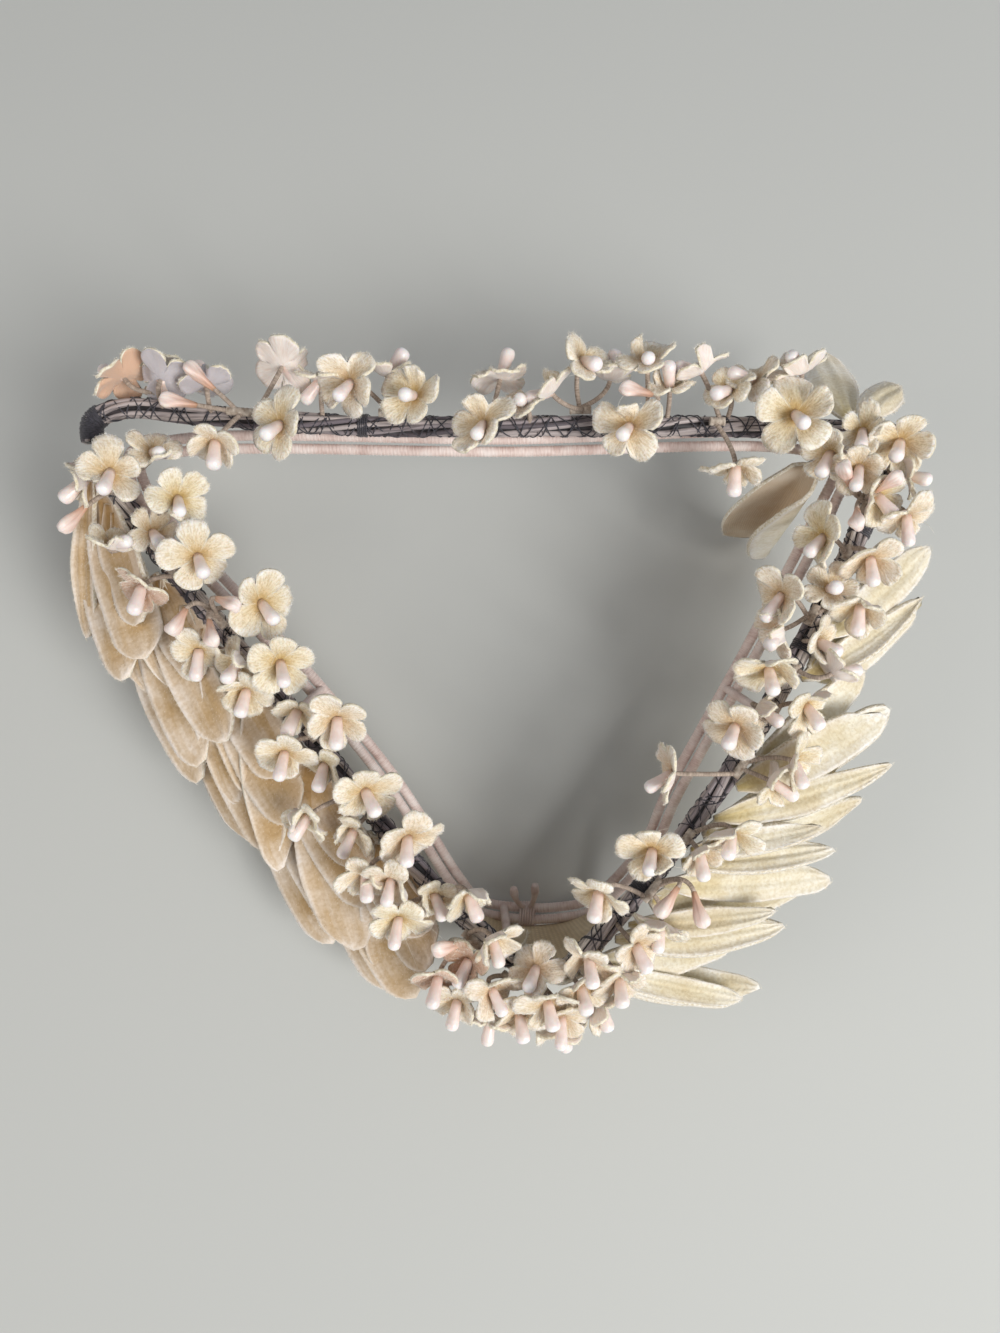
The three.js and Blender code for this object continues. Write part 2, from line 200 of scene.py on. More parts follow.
def sampled(rows, wanted, steps):
    """Rows of values read off at the wanted steps, with straight lines between them."""
    return np.stack([np.interp(wanted, steps, column) for column in rows.T], axis=-1)


def spaced(line, count):
    """The same line with evenly spaced places."""
    lengths = np.linalg.norm(np.diff(line, axis=0), axis=1)
    along = np.concatenate([[0], np.cumsum(lengths)])
    return sampled(line, np.linspace(0, along[-1], count), along)


def smooth_route(points, count, closed=False):
    """Evenly spaced places on a smooth line that passes through a few points."""
    p = np.asarray(points, float)
    ends = (p[-1:], p[:2]) if closed else (2 * p[:1] - p[1:2], 2 * p[-1:] - p[-2:-1])
    p = np.vstack([ends[0], p, ends[1]])
    t = np.linspace(0, 1, CURVE_STEPS, endpoint=False)[:, None]
    parts = []
    for a, b, c, d in zip(p[:-3], p[1:-2], p[2:-1], p[3:]):
        before, inside, after = [np.linalg.norm(q - r) ** 0.5 for q, r in ((a, b), (b, c), (c, d))]
        leave = inside * ((b - a) / before - (c - a) / (before + inside) + (c - b) / inside)
        arrive = inside * ((c - b) / inside - (d - b) / (inside + after) + (d - c) / after)
        bend = 3 * (c - b) - 2 * leave - arrive
        parts.append(b + t * leave + t ** 2 * bend + t ** 3 * (2 * (b - c) + leave + arrive))
    return spaced(np.vstack(parts + [p[-2:-1]]), count)


def bow(start, bend, end, count):
    """Evenly spaced places on a line from start to end that is drawn towards a bend."""
    t = np.linspace(0, 1, BOW_STEPS)[:, None]
    return spaced((1 - t) ** 2 * start + 2 * t * (1 - t) * bend + t ** 2 * end, count)


trial_points = np.array([[0, 0, 0], [1, 0, 0], [1, 1, 0.0]])
print("Round a corner of 1 + 1 mm:", round(length_of(bow(*trial_points, count=20)), 2), "mm as a bow,",
      round(length_of(smooth_route(trial_points, count=20)), 2), "mm as a smooth route")

# %% Warped grids and tubes
SLANT_WAY = np.array([0.31, 0.52, 0.79])


def new_bmesh():
    """An empty bmesh with a UV map and a tone for every vertex."""
    bm = bmesh.new()
    bm.loops.layers.uv.new("UVMap")
    bm.verts.layers.float.new("tone")
    return bm


def warped_grid(bm, shape, across, along, tone=0.0, material=0):
    """Adds a flat grid and moves its vertices to shape(u, v), with u and v from 0 to 1."""
    made = bmesh.ops.create_grid(bm, x_segments=across, y_segments=along, size=0.5, calc_uvs=True)["verts"]
    flat = np.array([vert.co for vert in made]) + 0.5
    layer = bm.verts.layers.float["tone"]
    for vert, place in zip(made, shape(flat[:, 0], flat[:, 1])):
        vert.co = place * MM
        vert[layer] = tone
    for face in {face for vert in made for face in vert.link_faces}:
        face.material_index = material


def line_frame(line, closed=False, up=None):
    """For every place on a line: a way to its side and a way off it."""
    if closed:
        ahead = np.roll(line[:-1], -1, axis=0) - np.roll(line[:-1], 1, axis=0)
        ahead = unit(np.vstack([ahead, ahead[:1]]))
    else:
        ahead = unit(np.gradient(line, axis=0))
    if up is not None:
        side = unit(np.cross(ahead, up))
    else:
        way = np.cross(ahead[0], SLANT_WAY)
        side = []
        for step in ahead:
            way = unit(way - step * way.dot(step))
            side.append(way)
        side = np.array(side)
    return side, np.cross(side, ahead)


def circled(turn, side, off):
    """Ways off a line, each by its turn round the line."""
    return np.cos(turn)[:, None] * side + np.sin(turn)[:, None] * off


def tube(bm, line, radius, sides, closed=False, up=None, tone=0.0, material=0):
    """A tube along a line. The radius is a number, or a function of the place's number and the turn."""
    line = np.asarray(line, float)
    side, off = line_frame(line, closed, up)
    if not closed:
        line, side, off = [np.vstack([rows[:1], rows, rows[-1:]]) for rows in (line, side, off)]

    def shape(u, v):
        row = np.rint(v * (len(line) - 1)).astype(int)
        turn = -2 * np.pi * u
        size = radius(row, turn) if callable(radius) else np.full(len(u), radius)
        if not closed:
            size = np.where((row == 0) | (row == len(line) - 1), 0, size)
        return line[row] + size[:, None] * circled(turn, side[row], off[row])

    warped_grid(bm, shape, sides, len(line) - 1, tone, material)


trial_bm = new_bmesh()
tube(trial_bm, bow(*trial_points, count=20), 0.1, sides=6)
print("A trial tube has", len(trial_bm.faces), "faces")
trial_bm.free()

# %% Finished pieces
SEAM_GAP = 0.002


def table(columns, rows):
    """Rows of values as dictionaries with these names."""
    return [dict(zip(columns, row)) for row in rows]


def add_piece(name, mesh):
    """An object that rides the one body."""
    piece = into_scene(name, mesh)
    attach(piece, "root")
    return piece


def finish_piece(name, bm, finishes, nodes=(), sheet=0.0):
    """Closes the seams, makes the piece, gives a sheet its wall, and hides the CAD nodes it replaces."""
    bmesh.ops.remove_doubles(bm, verts=bm.verts, dist=SEAM_GAP * MM)
    if not sheet:
        bmesh.ops.recalc_face_normals(bm, faces=bm.faces)
    mesh = mesh_of(name, bm, finishes)
    mesh.shade_smooth()
    piece = add_piece(name, mesh)
    if sheet:
        wall = piece.modifiers.new("wall", "SOLIDIFY")
        wall.thickness = sheet * MM
        wall.offset = -1
        wall.material_offset = 1
        wall.material_offset_rim = 2
    if nodes:
        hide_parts(*nodes)
    return piece


print("Seams are closed where they are within", SEAM_GAP, "mm")

# %% [markdown]
# ## Helpers: finishes
# Every finish is one Principled shader. Colour comes from a ramp over the UV map or from noise in object
# space, and the same noise raises the surface a little. Sheen, coat and the like are plain numbers on it.
# Pictures could hold more detail, but patterns made by nodes need no file and can be changed by a number.

# %% Finish helpers: coordinates and noise
def add_node(finish, kind, inputs=None, **settings):
    """Adds a node; an input that is another node's socket is linked, and a number or colour is set."""
    made = finish.node_tree.nodes.new("ShaderNode" + kind)
    for name, value in settings.items():
        setattr(made, name, value)
    for name, value in (inputs or {}).items():
        if isinstance(value, bpy.types.NodeSocket):
            finish.node_tree.links.new(value, made.inputs[name])
        else:
            made.inputs[name].default_value = value
    return made


def uv_of(finish, axis):
    """One coordinate of the UV map: X across or round the piece, Y along it or out from its middle."""
    source = add_node(finish, "UVMap", uv_map="UVMap").outputs["UV"]
    return add_node(finish, "SeparateXYZ", {"Vector": source}).outputs[axis]


def stretched_uv(finish, across, along):
    """The UV map stretched, for patterns that follow the surface."""
    source = add_node(finish, "UVMap", uv_map="UVMap").outputs["UV"]
    return add_node(finish, "Mapping", {"Vector": source, "Scale": (across, along, 1)}).outputs["Vector"]


def tone_of(finish):
    return add_node(finish, "Attribute", attribute_name="tone").outputs["Fac"]


def noise(finish, vector, scale, detail):
    return add_node(finish, "TexNoise", {"Vector": vector, "Scale": scale, "Detail": detail}).outputs["Fac"]


def grain(finish, scale, detail):
    """Noise in the space of the object."""
    return noise(finish, add_node(finish, "TexCoord").outputs["Object"], scale, detail)


def streaks(finish, across, along, detail):
    """Noise that is stretched along the surface."""
    return noise(finish, stretched_uv(finish, across, along), 1, detail)


print("Kinds of shader node to choose from:", sum(kind.startswith("ShaderNode") for kind in dir(bpy.types)))

# %% Finish helpers: colours and relief
def maths(finish, how, first, second):
    return add_node(finish, "Math", {0: first, 1: second}, operation=how).outputs["Value"]


def weighted(finish, share, first, second):
    """Two patterns added, the first with this share and the second with the rest."""
    parts = [maths(finish, "MULTIPLY", first, share), maths(finish, "MULTIPLY", second, 1 - share)]
    return maths(finish, "ADD", *parts)


def between(finish, share, low, high, start=0.0, stop=1.0):
    """A number moved from one range to another, and held at its ends."""
    inputs = {"Value": share, "From Min": start, "From Max": stop, "To Min": low, "To Max": high}
    return add_node(finish, "MapRange", inputs).outputs["Result"]


def ramp(finish, share, stops):
    """Colours along a share from 0 to 1; stops are (place, hex colour)."""
    made = add_node(finish, "ValToRGB", {"Fac": share})
    elements = made.color_ramp.elements
    while len(elements) < len(stops):
        elements.new(0.5)
    for element, (place, code) in zip(elements, stops):
        element.position = place
        element.color = paint(code)
    return made.outputs["Color"]


def mix(finish, share, first, second, how="MIX"):
    """Two colours mixed by a share; a Mix node has its colours on sockets 6 and 7."""
    inputs = {0: share, 6: first, 7: second}
    return add_node(finish, "Mix", inputs, data_type="RGBA", blend_type=how).outputs[2]


def stain(finish, share, shade, pattern, low, code, high):
    """A colour darkened by a share where a pattern is low."""
    return mix(finish, share, shade, ramp(finish, pattern, [(low, code), (high, "ffffff")]), "MULTIPLY")


def surface(finish, shade, height, depth):
    """Gives the shader its colour, and a bump of so many millimetres from a height."""
    bump = add_node(finish, "Bump", {"Height": height, "Distance": depth * MM, "Strength": 1.0})
    for socket, source in (("Base Color", shade), ("Normal", bump.outputs["Normal"])):
        finish.node_tree.links.new(source, finish.node_tree.nodes["Principled BSDF"].inputs[socket])


def two_tone(finish, pattern, stops, depth):
    """Gives the shader its colour and its bump from one pattern."""
    surface(finish, ramp(finish, pattern, stops), pattern, depth)


print("Half grey, as hex 808080, is", round(paint("808080")[0], 3), "in linear light")

# %% [markdown]
# ## Silk-wrapped wires
# Two wires run side by side round the head opening: a straight bar at the back, and a point at the front
# that dips almost to the floor. Each is wound with fine silk thread, so its skin is a row of slanting
# ridges. A bump could draw them, but would leave the outline smooth. So the radius of a tube swings a
# little with the place along it and the turn round it. Three short wrapped struts go up to the stems.

# %% Silk finish
silk = new_finish("wound_silk", {"Roughness": 0.55, "Sheen Weight": 0.35, "Sheen Roughness": 0.35})
silk_shade = ramp(silk, grain(silk, 260, 4), [(0.3, "c9aba2"), (0.5, "e8d3cb"), (0.72, "f7ece7")])
silk_fibre = streaks(silk, 3, 2400, 2)
silk_lay = ramp(silk, silk_fibre, [(0.3, "b5948a"), (0.7, "fff8f4")])
surface(silk, mix(silk, 0.35, silk_shade, silk_lay), silk_fibre, 0.06)

# %% Routes of the wires and stems
WIRE_ROUTE = np.array([
    [66, 45.8, -4.9], [0, 45.8, -4.9], [-68, 45.8, -4.9], [-76.5, 43.6, -5], [-75, 37, -6],
    [-50, 8, -11], [-23.7, -25, -17.5], [-9.5, -49.6, -26.4], [-5, -55.4, -29], [3, -57.4, -29.9],
    [14, -57.4, -29.9], [21.5, -55.4, -29], [33, -41.5, -23], [38, -28, -18], [54, 4, -11],
    [69, 35, -6.4], [71.5, 42.5, -5.2],
])
STEM_ROUTES = {
    "stem_left": [[-84.2, 43.8, 0], [-73, 26.5, 0], [-42, -11, 0], [-13, -46.5, 0], [8.6, -66.4, 0]],
    "stem_right": [[13.6, -63.4, 0], [28, -48, 0], [48.5, -21, 0], [66, 10, 0], [78.6, 38, 0],
                   [78.8, 44.2, 0]],
    "stem_back": [[76.5, 48.8, 0], [46, 50, 0], [12, 50, 0], [-30, 50.2, 0], [-62, 52.3, 0],
                  [-78, 53.8, 0], [-84.6, 51, 0], [-84.8, 46.6, 0]],
}
stem_lines = {name: smooth_route(route, count=401) for name, route in STEM_ROUTES.items()}


def along_stem(name, along):
    """The place on a stem so many millimetres from its start, and the way it runs there."""
    line = stem_lines[name]
    row = min(1, along / length_of(line)) * (len(line) - 1)
    rows = np.arange(len(line))
    return sampled(line, row, rows), unit(sampled(unit(np.gradient(line, axis=0)), row, rows))


print("Stems:", {name: round(length_of(line)) for name, line in stem_lines.items()}, "mm long")

# %% Wires and struts
WIRE_RADIUS = 1.12
WIRE_OUT = 2.3
WIRE_UP = 1.6
WIRE_PLACES = 1801
WIRE_SIDES = 9
WIND_PITCH = 0.8
WIND_DEPTH = 0.05
STEM_RADIUS = 2.2
STRUT_RADIUS = 0.95
STRUT_GAP = 0.2
STRUT_PLACES = 6
STRUTS = [("stem_left", 136), ("stem_left", 68), ("stem_right", 68)]


def wound(radius, line):
    """The radius of a wire wound with thread: one slanting ridge for each turn."""
    step = length_of(line) / (len(line) - 1)
    return lambda row, turn: radius * (1 + WIND_DEPTH * np.cos(2 * np.pi * row * step / WIND_PITCH + turn))


wire_bm = new_bmesh()
run = unit(np.roll(WIRE_ROUTE, -1, axis=0) - np.roll(WIRE_ROUTE, 1, axis=0))
beside = np.stack([run[:, 1] * WIRE_OUT, -run[:, 0] * WIRE_OUT, np.full(len(run), WIRE_UP)], axis=1)
inner_line = smooth_route(WIRE_ROUTE, WIRE_PLACES, closed=True)
outer_line = smooth_route(WIRE_ROUTE + beside, WIRE_PLACES, closed=True)
for line in (inner_line, outer_line):
    tube(wire_bm, from_rim(line), wound(WIRE_RADIUS, line), WIRE_SIDES, closed=True, up=RIM_UP)
for stem, along in STRUTS:
    top = along_stem(stem, along)[0]
    foot = inner_line[nearest(inner_line, top)]
    top = top + unit(foot - top) * (STEM_RADIUS + STRUT_GAP)
    line = spaced(np.array([foot, top]), int(np.linalg.norm(top - foot) * STRUT_PLACES))
    tube(wire_bm, from_rim(line), wound(STRUT_RADIUS, line), WIRE_SIDES)
print("Wires:", round(length_of(inner_line)), "and", round(length_of(outer_line)), "mm round")

# %% [markdown]
# A tie holds the two wires together at the front, and its two ends stand up with a small knob each. A ring
# round the pair would be too even for handwork, so one thin tube follows a line wound round both wires.

# %% Tie at the front
TIE_ACROSS = 6.5
TIE_TURNS = 6
TIE_RADIUS = 0.3
TURN_PLACES = 24
END_TIPS = np.array([[3.2, -51.6, -24.0], [8.2, -50.8, -24.0]])
END_BEND = (1.5, 3.5)
END_RADIUS = 0.65
KNOB_SWELL = 0.4
KNOB_PLACE = 21
KNOB_LENGTH = 4


def knobbed(row, turn):
    """The radius of a tie end: plain at first, swelling to a knob."""
    return END_RADIUS + KNOB_SWELL * np.exp(-((row - KNOB_PLACE) / KNOB_LENGTH) ** 2)


from_tie = np.where(inner_line[:, 1] > 0, np.inf, np.abs(inner_line[:, 0] - TIE_ACROSS))
inner = inner_line[np.argmin(from_tie)]
outer = outer_line[nearest(outer_line, inner)]
apart = unit(outer - inner)
turn = np.linspace(0, 2 * np.pi * TIE_TURNS, TURN_PLACES * TIE_TURNS)[:, None]
reach = WIRE_RADIUS + TIE_RADIUS
long_reach = reach + np.linalg.norm(outer - inner) / 2
winding = (inner + outer) / 2 + np.cos(turn) * long_reach * apart
winding = winding + np.sin(turn) * reach * np.cross(apart, [1, 0, 0])
winding[:, 0] += (turn[:, 0] / (2 * np.pi) - TIE_TURNS / 2) * 2 * TIE_RADIUS
tube(wire_bm, from_rim(winding), TIE_RADIUS, sides=6)
for tip in END_TIPS:
    line = bow(inner, inner + [tip[0] - TIE_ACROSS, *END_BEND], tip, count=25)
    tube(wire_bm, from_rim(line), knobbed, sides=8)
finish_piece("silk_wires", wire_bm, [silk], ["wire_frame"])
print("Tie:", TIE_TURNS, "turns and", len(END_TIPS), "ends")

# %% [markdown]
# ## Bound stems
# The rim is a bundle of thin dyed stems, bound with black thread that crosses over itself. The bundle is
# made of its real parts: a core coloured near black as painted shade in the gaps between the strands, eight
# strands laid round it with a slow twist, then six threads wound on top, three each way, so they cross.
# Short close wraps hold it here and there. Each strand has its own tone, from lilac grey to straw. One
# thick tube with a drawn pattern would be lighter, but it would look smooth from the side.

# %% Stem and thread finishes
strand = new_finish("dyed_strands", {"Roughness": 0.45, "Sheen Weight": 0.25})
strand_streak = streaks(strand, 6, 22, 4)
# Tone 0 is the core: near black, as painted shade in the gaps between the strands; strand tones start above
# it.
strand_shade = ramp(strand, tone_of(strand), [
    (0.0, "1f1b1e"), (0.12, "857b82"), (0.45, "b9aeac"), (0.75, "ddd2c8"), (1.0, "f0e8df")])
strand_dark = between(strand, strand_streak, 0.0, 0.9, 0.5, 0.7)
surface(strand, mix(strand, strand_dark, strand_shade, paint("4a4144")), strand_streak, 0.15)

thread = new_finish("binding_thread", {"Roughness": 0.6, "Sheen Weight": 0.3})
two_tone(thread, streaks(thread, 4, 500, 2), [(0.3, "141318"), (0.7, "4b4954")], 0.03)

# %% Strands
CORE_RADIUS = 1.5
STRAND_COUNT = 8
STRAND_STEP = 1.6
STRAND_OFF = 1.62
STRAND_HEAVE = 0.12
STRAND_WAVE = 6
STRAND_WANDER = 0.3
STRAND_TURN = 110
STRAND_RADIUS = 0.55
STRAND_TONES = {"stem_left": (0.05, 0.75), "stem_right": (0.15, 1), "stem_back": (0.03, 0.5)}
UP = np.array([0, 0, 1.0])


def add_around(bm, line, turn, reach, radius, sides, tone=0.0):
    """Adds a tube that winds round a line on the rim, by its turn and its distance from the line."""
    side, off = line_frame(line, up=UP)
    tube(bm, from_rim(line + reach[:, None] * circled(turn, side, off)), radius, sides, tone=tone)


def add_strands(name, rng):
    """The core of one stem and the strands laid round it."""
    size = length_of(stem_lines[name])
    stem_bm = new_bmesh()
    line = spaced(stem_lines[name], int(size / STRAND_STEP))
    along = np.linspace(0, size, len(line))
    # The core keeps tone 0, so it is painted near black as shade between the strands.
    tube(stem_bm, from_rim(line), CORE_RADIUS, sides=8)
    for number in range(STRAND_COUNT):
        wander = STRAND_WANDER * np.sin(along / rng.uniform(5, 9) + rng.uniform(0, 6))
        turn = 2 * np.pi * (number / STRAND_COUNT + along / STRAND_TURN) + wander
        reach = STRAND_OFF + STRAND_HEAVE * np.sin(along / STRAND_WAVE + number)
        tone = rng.uniform(*STRAND_TONES[name])
        add_around(stem_bm, line, turn, reach, STRAND_RADIUS, sides=7, tone=tone)
    finish_piece("strands_" + name.removeprefix("stem_"), stem_bm, [strand], [name])


print("Strands round each core:", STRAND_COUNT)

# %% Threads and wraps
THREAD_PLACES = 2.2
THREAD_OFF = 2.16
THREAD_HEAVE = 0.06
THREAD_RIPPLE = 1.7
THREAD_WANDER = 0.9
THREAD_WAVE = 7.3
THREAD_RADIUS = 0.14
THREAD_TURNS = [(7.5, 0.0), (11.5, 3.0), (-9.5, 1.0), (-14.0, 4.2), (5.1, 2.0), (-6.3, 5.0)]
WRAP_PITCH = 0.42
WRAP_PLACES = 14
WRAP_OFF = 0.1
WRAP_HEAVE = 0.05
WRAP_RIPPLE = 0.37
WRAP_RADIUS = THREAD_RADIUS * 1.3
WRAP_END = 0.3
WRAPS = table(("stem", "start", "length"), [
    ["stem_back", 46, 3], ["stem_back", 104, 2], ["stem_back", 160, 10], ["stem_left", 0.4, 4],
    ["stem_left", 60, 2], ["stem_right", 22, 3], ["stem_right", 83, 2], ["stem_right", 110, 3],
])


def add_threads(name):
    """The crossed threads of one stem and its close wraps."""
    size = length_of(stem_lines[name])
    thread_bm = new_bmesh()
    line = spaced(stem_lines[name], int(size * THREAD_PLACES))
    along = np.linspace(0, size, len(line))
    for pitch, start in THREAD_TURNS:
        turn = start + 2 * np.pi * along / pitch + THREAD_WANDER * np.sin(along / THREAD_WAVE + start)
        reach = THREAD_OFF + THREAD_HEAVE * np.sin(along * THREAD_RIPPLE + start)
        add_around(thread_bm, line, turn, reach, THREAD_RADIUS, sides=5)
    for wrap in [row for row in WRAPS if row["stem"] == name]:
        turns = wrap["length"] / WRAP_PITCH
        end = min(wrap["start"] + wrap["length"], size - WRAP_END)
        rows = np.linspace(wrap["start"], end, int(turns * WRAP_PLACES))
        wrapped = np.array([along_stem(name, row)[0] for row in rows])
        turn = 2 * np.pi * turns * np.linspace(0, 1, len(rows))
        reach = THREAD_OFF + WRAP_OFF + WRAP_HEAVE * np.sin(turn * WRAP_RIPPLE)
        add_around(thread_bm, wrapped, turn, reach, WRAP_RADIUS, sides=5)
    finish_piece("thread_" + name.removeprefix("stem_"), thread_bm, [thread])


print("Threads round each stem:", len(THREAD_TURNS))

# %% Bound stems
STEM_SEED = 40

for number, name in enumerate(stem_lines):
    add_strands(name, np.random.default_rng(STEM_SEED + number))
    add_threads(name)
print("Bound stems:", len(stem_lines), "with", len(WRAPS), "wraps in all")

# %% [markdown]
# ## Velvet leaves
# The leaves are cut from velvet: a soft tan or yellow pile above, a woven back, and a pale fuzzy line where
# the cut shows the pile from the side. Each leaf is one grid laid along a bowed line, cupped, waved and
# creased down the middle, and a Solidify modifier gives it its cloth thickness with other materials for
# back and rim.

# %% Leaf finishes
def leaf_front(name, base, middle, edge):
    """Velvet pile: darker at the stalk, with streaks of painted sheen, and paler along the rim and the tip,
    partly the pale cut pile and partly a painted highlight on the raised edges.
    """
    finish = new_finish(name, {"Roughness": 0.9, "Sheen Weight": 0.7, "Sheen Roughness": 0.4,
                               "Sheen Tint": (1.0, 0.95, 0.91, 1.0)})
    along = uv_of(finish, "Y")
    from_crease = maths(finish, "ABSOLUTE", maths(finish, "SUBTRACT", uv_of(finish, "X"), 0.5), 0.0)
    # Whitening by to_rim is partly the pale cut pile and partly a painted highlight on the raised, curled
    # edges.
    to_rim = maths(finish, "MAXIMUM", from_crease, between(finish, along, 0.0, 0.5, 0.72, 1.0))
    shade = ramp(finish, along, [(0.0, base), (0.4, middle), (1.0, middle)])
    cloud = grain(finish, 110, 3)
    # Painted sheen: pale streaks along the leaf, mixed towards the rim colour as highlights on the pile.
    painted_sheen = maths(finish, "MULTIPLY", streaks(finish, 5, 1.3, 2), cloud)
    for pattern, limits in ((to_rim, (0.0, 0.45, 0.2, 0.45)), (to_rim, (0.0, 1.0, 0.41, 0.48)),
                            (painted_sheen, (0.0, 0.5, 0.22, 0.38))):
        shade = mix(finish, between(finish, pattern, *limits), shade, paint(edge))
    shade = stain(finish, 0.45, shade, cloud, 0.32, "dccaa6", 0.62)
    lay = weighted(finish, 0.45, streaks(finish, 7, 46, 2), grain(finish, 1500, 3))
    surface(finish, stain(finish, 0.4, shade, lay, 0.38, "d6c6a6", 0.58), lay, 0.22)
    return finish


def leaf_back(name, low, high, threads=(26, 90)):
    """The woven side of the cloth: two fine waves across each other."""
    finish = new_finish(name, {"Roughness": 0.9, "Sheen Weight": 0.2})
    inputs = {"Vector": stretched_uv(finish, *threads), "Scale": 0.5, "Distortion": 0.6}
    over, under = [add_node(finish, "TexWave", inputs, bands_direction=way).outputs["Fac"] for way in "XY"]
    weave = maths(finish, "MULTIPLY", over, under)
    shade = ramp(finish, grain(finish, 140, 3), [(0.3, low), (0.7, high)])
    shade = mix(finish, between(finish, weave, 0.3, 0.0), shade, paint("7d6a55"))
    surface(finish, shade, weave, 0.08)
    return finish


def cut_edge(name, low, high):
    """The pale pile seen from the side, where the velvet is cut."""
    finish = new_finish(name, {"Roughness": 1.0, "Sheen Weight": 0.5, "Sheen Roughness": 0.5})
    two_tone(finish, grain(finish, 1700, 3), [(0.35, low), (0.62, high)], 0.3)
    return finish


leaf_edge = cut_edge("leaf_cut_edge", "dccfb2", "fdf8ec")
tan_front = leaf_front("tan_leaf_velvet", "ad8b58", "cdb188", "fdf4ec")
tan_back = leaf_back("tan_leaf_weave", "d3bd96", "eadbbb")
yellow_front = leaf_front("yellow_leaf_velvet", "d9ca90", "efe8d0", "fffefb")
yellow_back = leaf_back("yellow_leaf_weave", "d8cb9f", "f2e9cb")
pink_back = leaf_back("pink_leaf_weave", "efd6b4", "fff1dc")
LEAF_FINISHES = {
    "left": [tan_front, tan_back, leaf_edge], "right": [yellow_front, yellow_back, leaf_edge],
    "turned": [pink_back, yellow_front, leaf_edge], "woven": [tan_back, tan_back, leaf_edge],
}
LEAF_KINDS = {"leaf_corner_right": "turned", "leaf_corner_back": "right", "leaf_corner_side": "right",
              "leaf_front_left": "woven", "leaf_front_right": "woven"}

# %% [markdown]
# The leaves of a wing are tied on in sprays, one behind the other, and some leaves hang alone. They could
# be set by hand in the viewport, but tables are easier to read and change: the blades of each wing's
# sprays, where the sprays sit, the leaves that hang alone, and more blades, each with its own tip.

# %% Leaf tables
WING_COLUMNS = ("reach", "sink", "flow", "length", "width", "rise", "roll", "stray")
WING_ROWS = {
    "stem_left": table(WING_COLUMNS, [
        [6, 3.5, 3, 30, 12, 1, 0, 1], [10, 6.5, 4, 36, 12.5, 1.5, 6, 0.3], [17.5, 14, 5, 38, 13, 2, 8, 0.3],
        [21, 18, 4, 33, 10, 2, -14, 1], [24.5, 22, 3.5, 38, 13, 2.5, 4, 0.3]]),
    "stem_right": table(WING_COLUMNS, [
        [8, 7, 15, 38, 9.5, 5.5, 14, 0.6], [14, 13.5, 27, 37, 10, 5.5, 4, 0.6]]),
}
SPRAYS = table(("spray", "along", "spread", "turn", "size"), [
    ["left_1", 6, 0.65, 8, 1], ["left_2", 28.2, 0.83, 6.2, 1], ["left_3", 50.8, 0.94, 3.2, 1],
    ["left_4", 74.4, 0.95, 0.8, 1], ["left_5", 98, 0.85, 0, 0.86],
    ["right_1", 6, 1, 16, 0.8], ["right_2", 23, 1, 6, 0.85], ["right_3", 41, 1, 2, 0.9],
    ["right_4", 59, 1, -2, 0.76], ["right_5", 82, 0.8, -9, 0.72],
])
HANGING = table((
    "name", "stem", "along", "out", "across", "back", "height", "width", "cup", "taper", "fold"), [
    ["leaf_corner_left", "stem_left", 2, 3.2, -95, 27, 0.3, 12, 0.2, 0, 0],
    ["leaf_corner_left", "stem_left", 4, 3.2, -91.3, 5.6, 23.6, 5.5, 0.1, 0, 0],
    ["leaf_corner_right", "stem_back", 13, -7.4, 64, 37, 0.6, 25, -0.15, 0.25, 3.45],
    ["leaf_corner_back", "stem_back", 4, 2.5, 73, 76, 24, 11, 0.3, 0, 0],
    ["leaf_corner_side", "stem_back", 1, 2.7, 84, 58, 44, 8, 0.4, 0, 0],
    ["leaf_front_left", "stem_left", 128, 3.2, 1.5, -60.5, 6, 17, 0.2, 0, 0],
    ["leaf_front_right", "stem_right", 3, 3.2, 14.5, -60.5, 6, 16, 0.2, 0, 0],
])
BLADES = table(("spray", "along", "across", "back", "lift", "width", "roll", "taper"), [
    ["right_5", 88, 91, 26, -3, 8.5, 10, 0.2], ["right_5", 78, 90.5, 15.5, -3, 6, 30, 0.8],
    ["right_4", 52, 81.5, -7.7, 1, 10, 12, 0.2], ["right_3", 44, 84.3, -20, -2, 7.5, 22, 0.7],
    ["right_3", 36, 68.4, -32, 2, 5, 38, 0.3], ["right_2", 33, 71.7, -37.2, 0, 6, 34, 0.3],
    ["right_2", 27, 72.1, -44.1, -4, 8, 8, 0.1], ["right_2", 16, 57.3, -50.4, 2, 6, 30, 0.5],
    ["right_1", 12, 62.2, -53.8, -3, 8, 14, 0.6], ["right_1", 4, 51.8, -70.8, -5, 5, 16, 0.1],
    ["left_1", 12, -70.1, -5.1, -7, 6, 10, 0], ["left_1", 10, -76.1, -8.4, -12, 10, 0, 0],
    ["left_2", 36, -55.6, -32, -10, 9, 4, 0], ["left_2", 42, -51.2, -28.9, -6, 8, 28, 0],
    ["left_3", 58, -45.7, -46.5, -8, 9, 24, 0], ["left_4", 76, -30.9, -63.5, -8, 13, 12, 0],
    ["left_5", 100, -23.2, -70.1, -11, 9, 10, 0],
])
leaf_groups = {"leaves_" + row["spray"]: [] for row in SPRAYS}
leaf_groups.update({row["name"]: [] for row in HANGING})
print("Leaf pieces to make:", len(leaf_groups))

# %% Leaf places
LEAF_SEED = 7
LEAF_TIE = 0.65
HANG_BEND = 0.4
HANG_BOW = 3
BLADE_SINK = 2
FLOW_STRAY = 4
LENGTH_STRAY = 0.09
WIDTH_STRAY = 0.08
ROLL_STRAY = 14
RIM_HEIGHT = 38
SHIFT = RIM_PLACE - [0, 0, RIM_HEIGHT]
PLAIN_LEAF = {"roll": 0, "cup": 0.12, "taper": 0, "fold": 0}


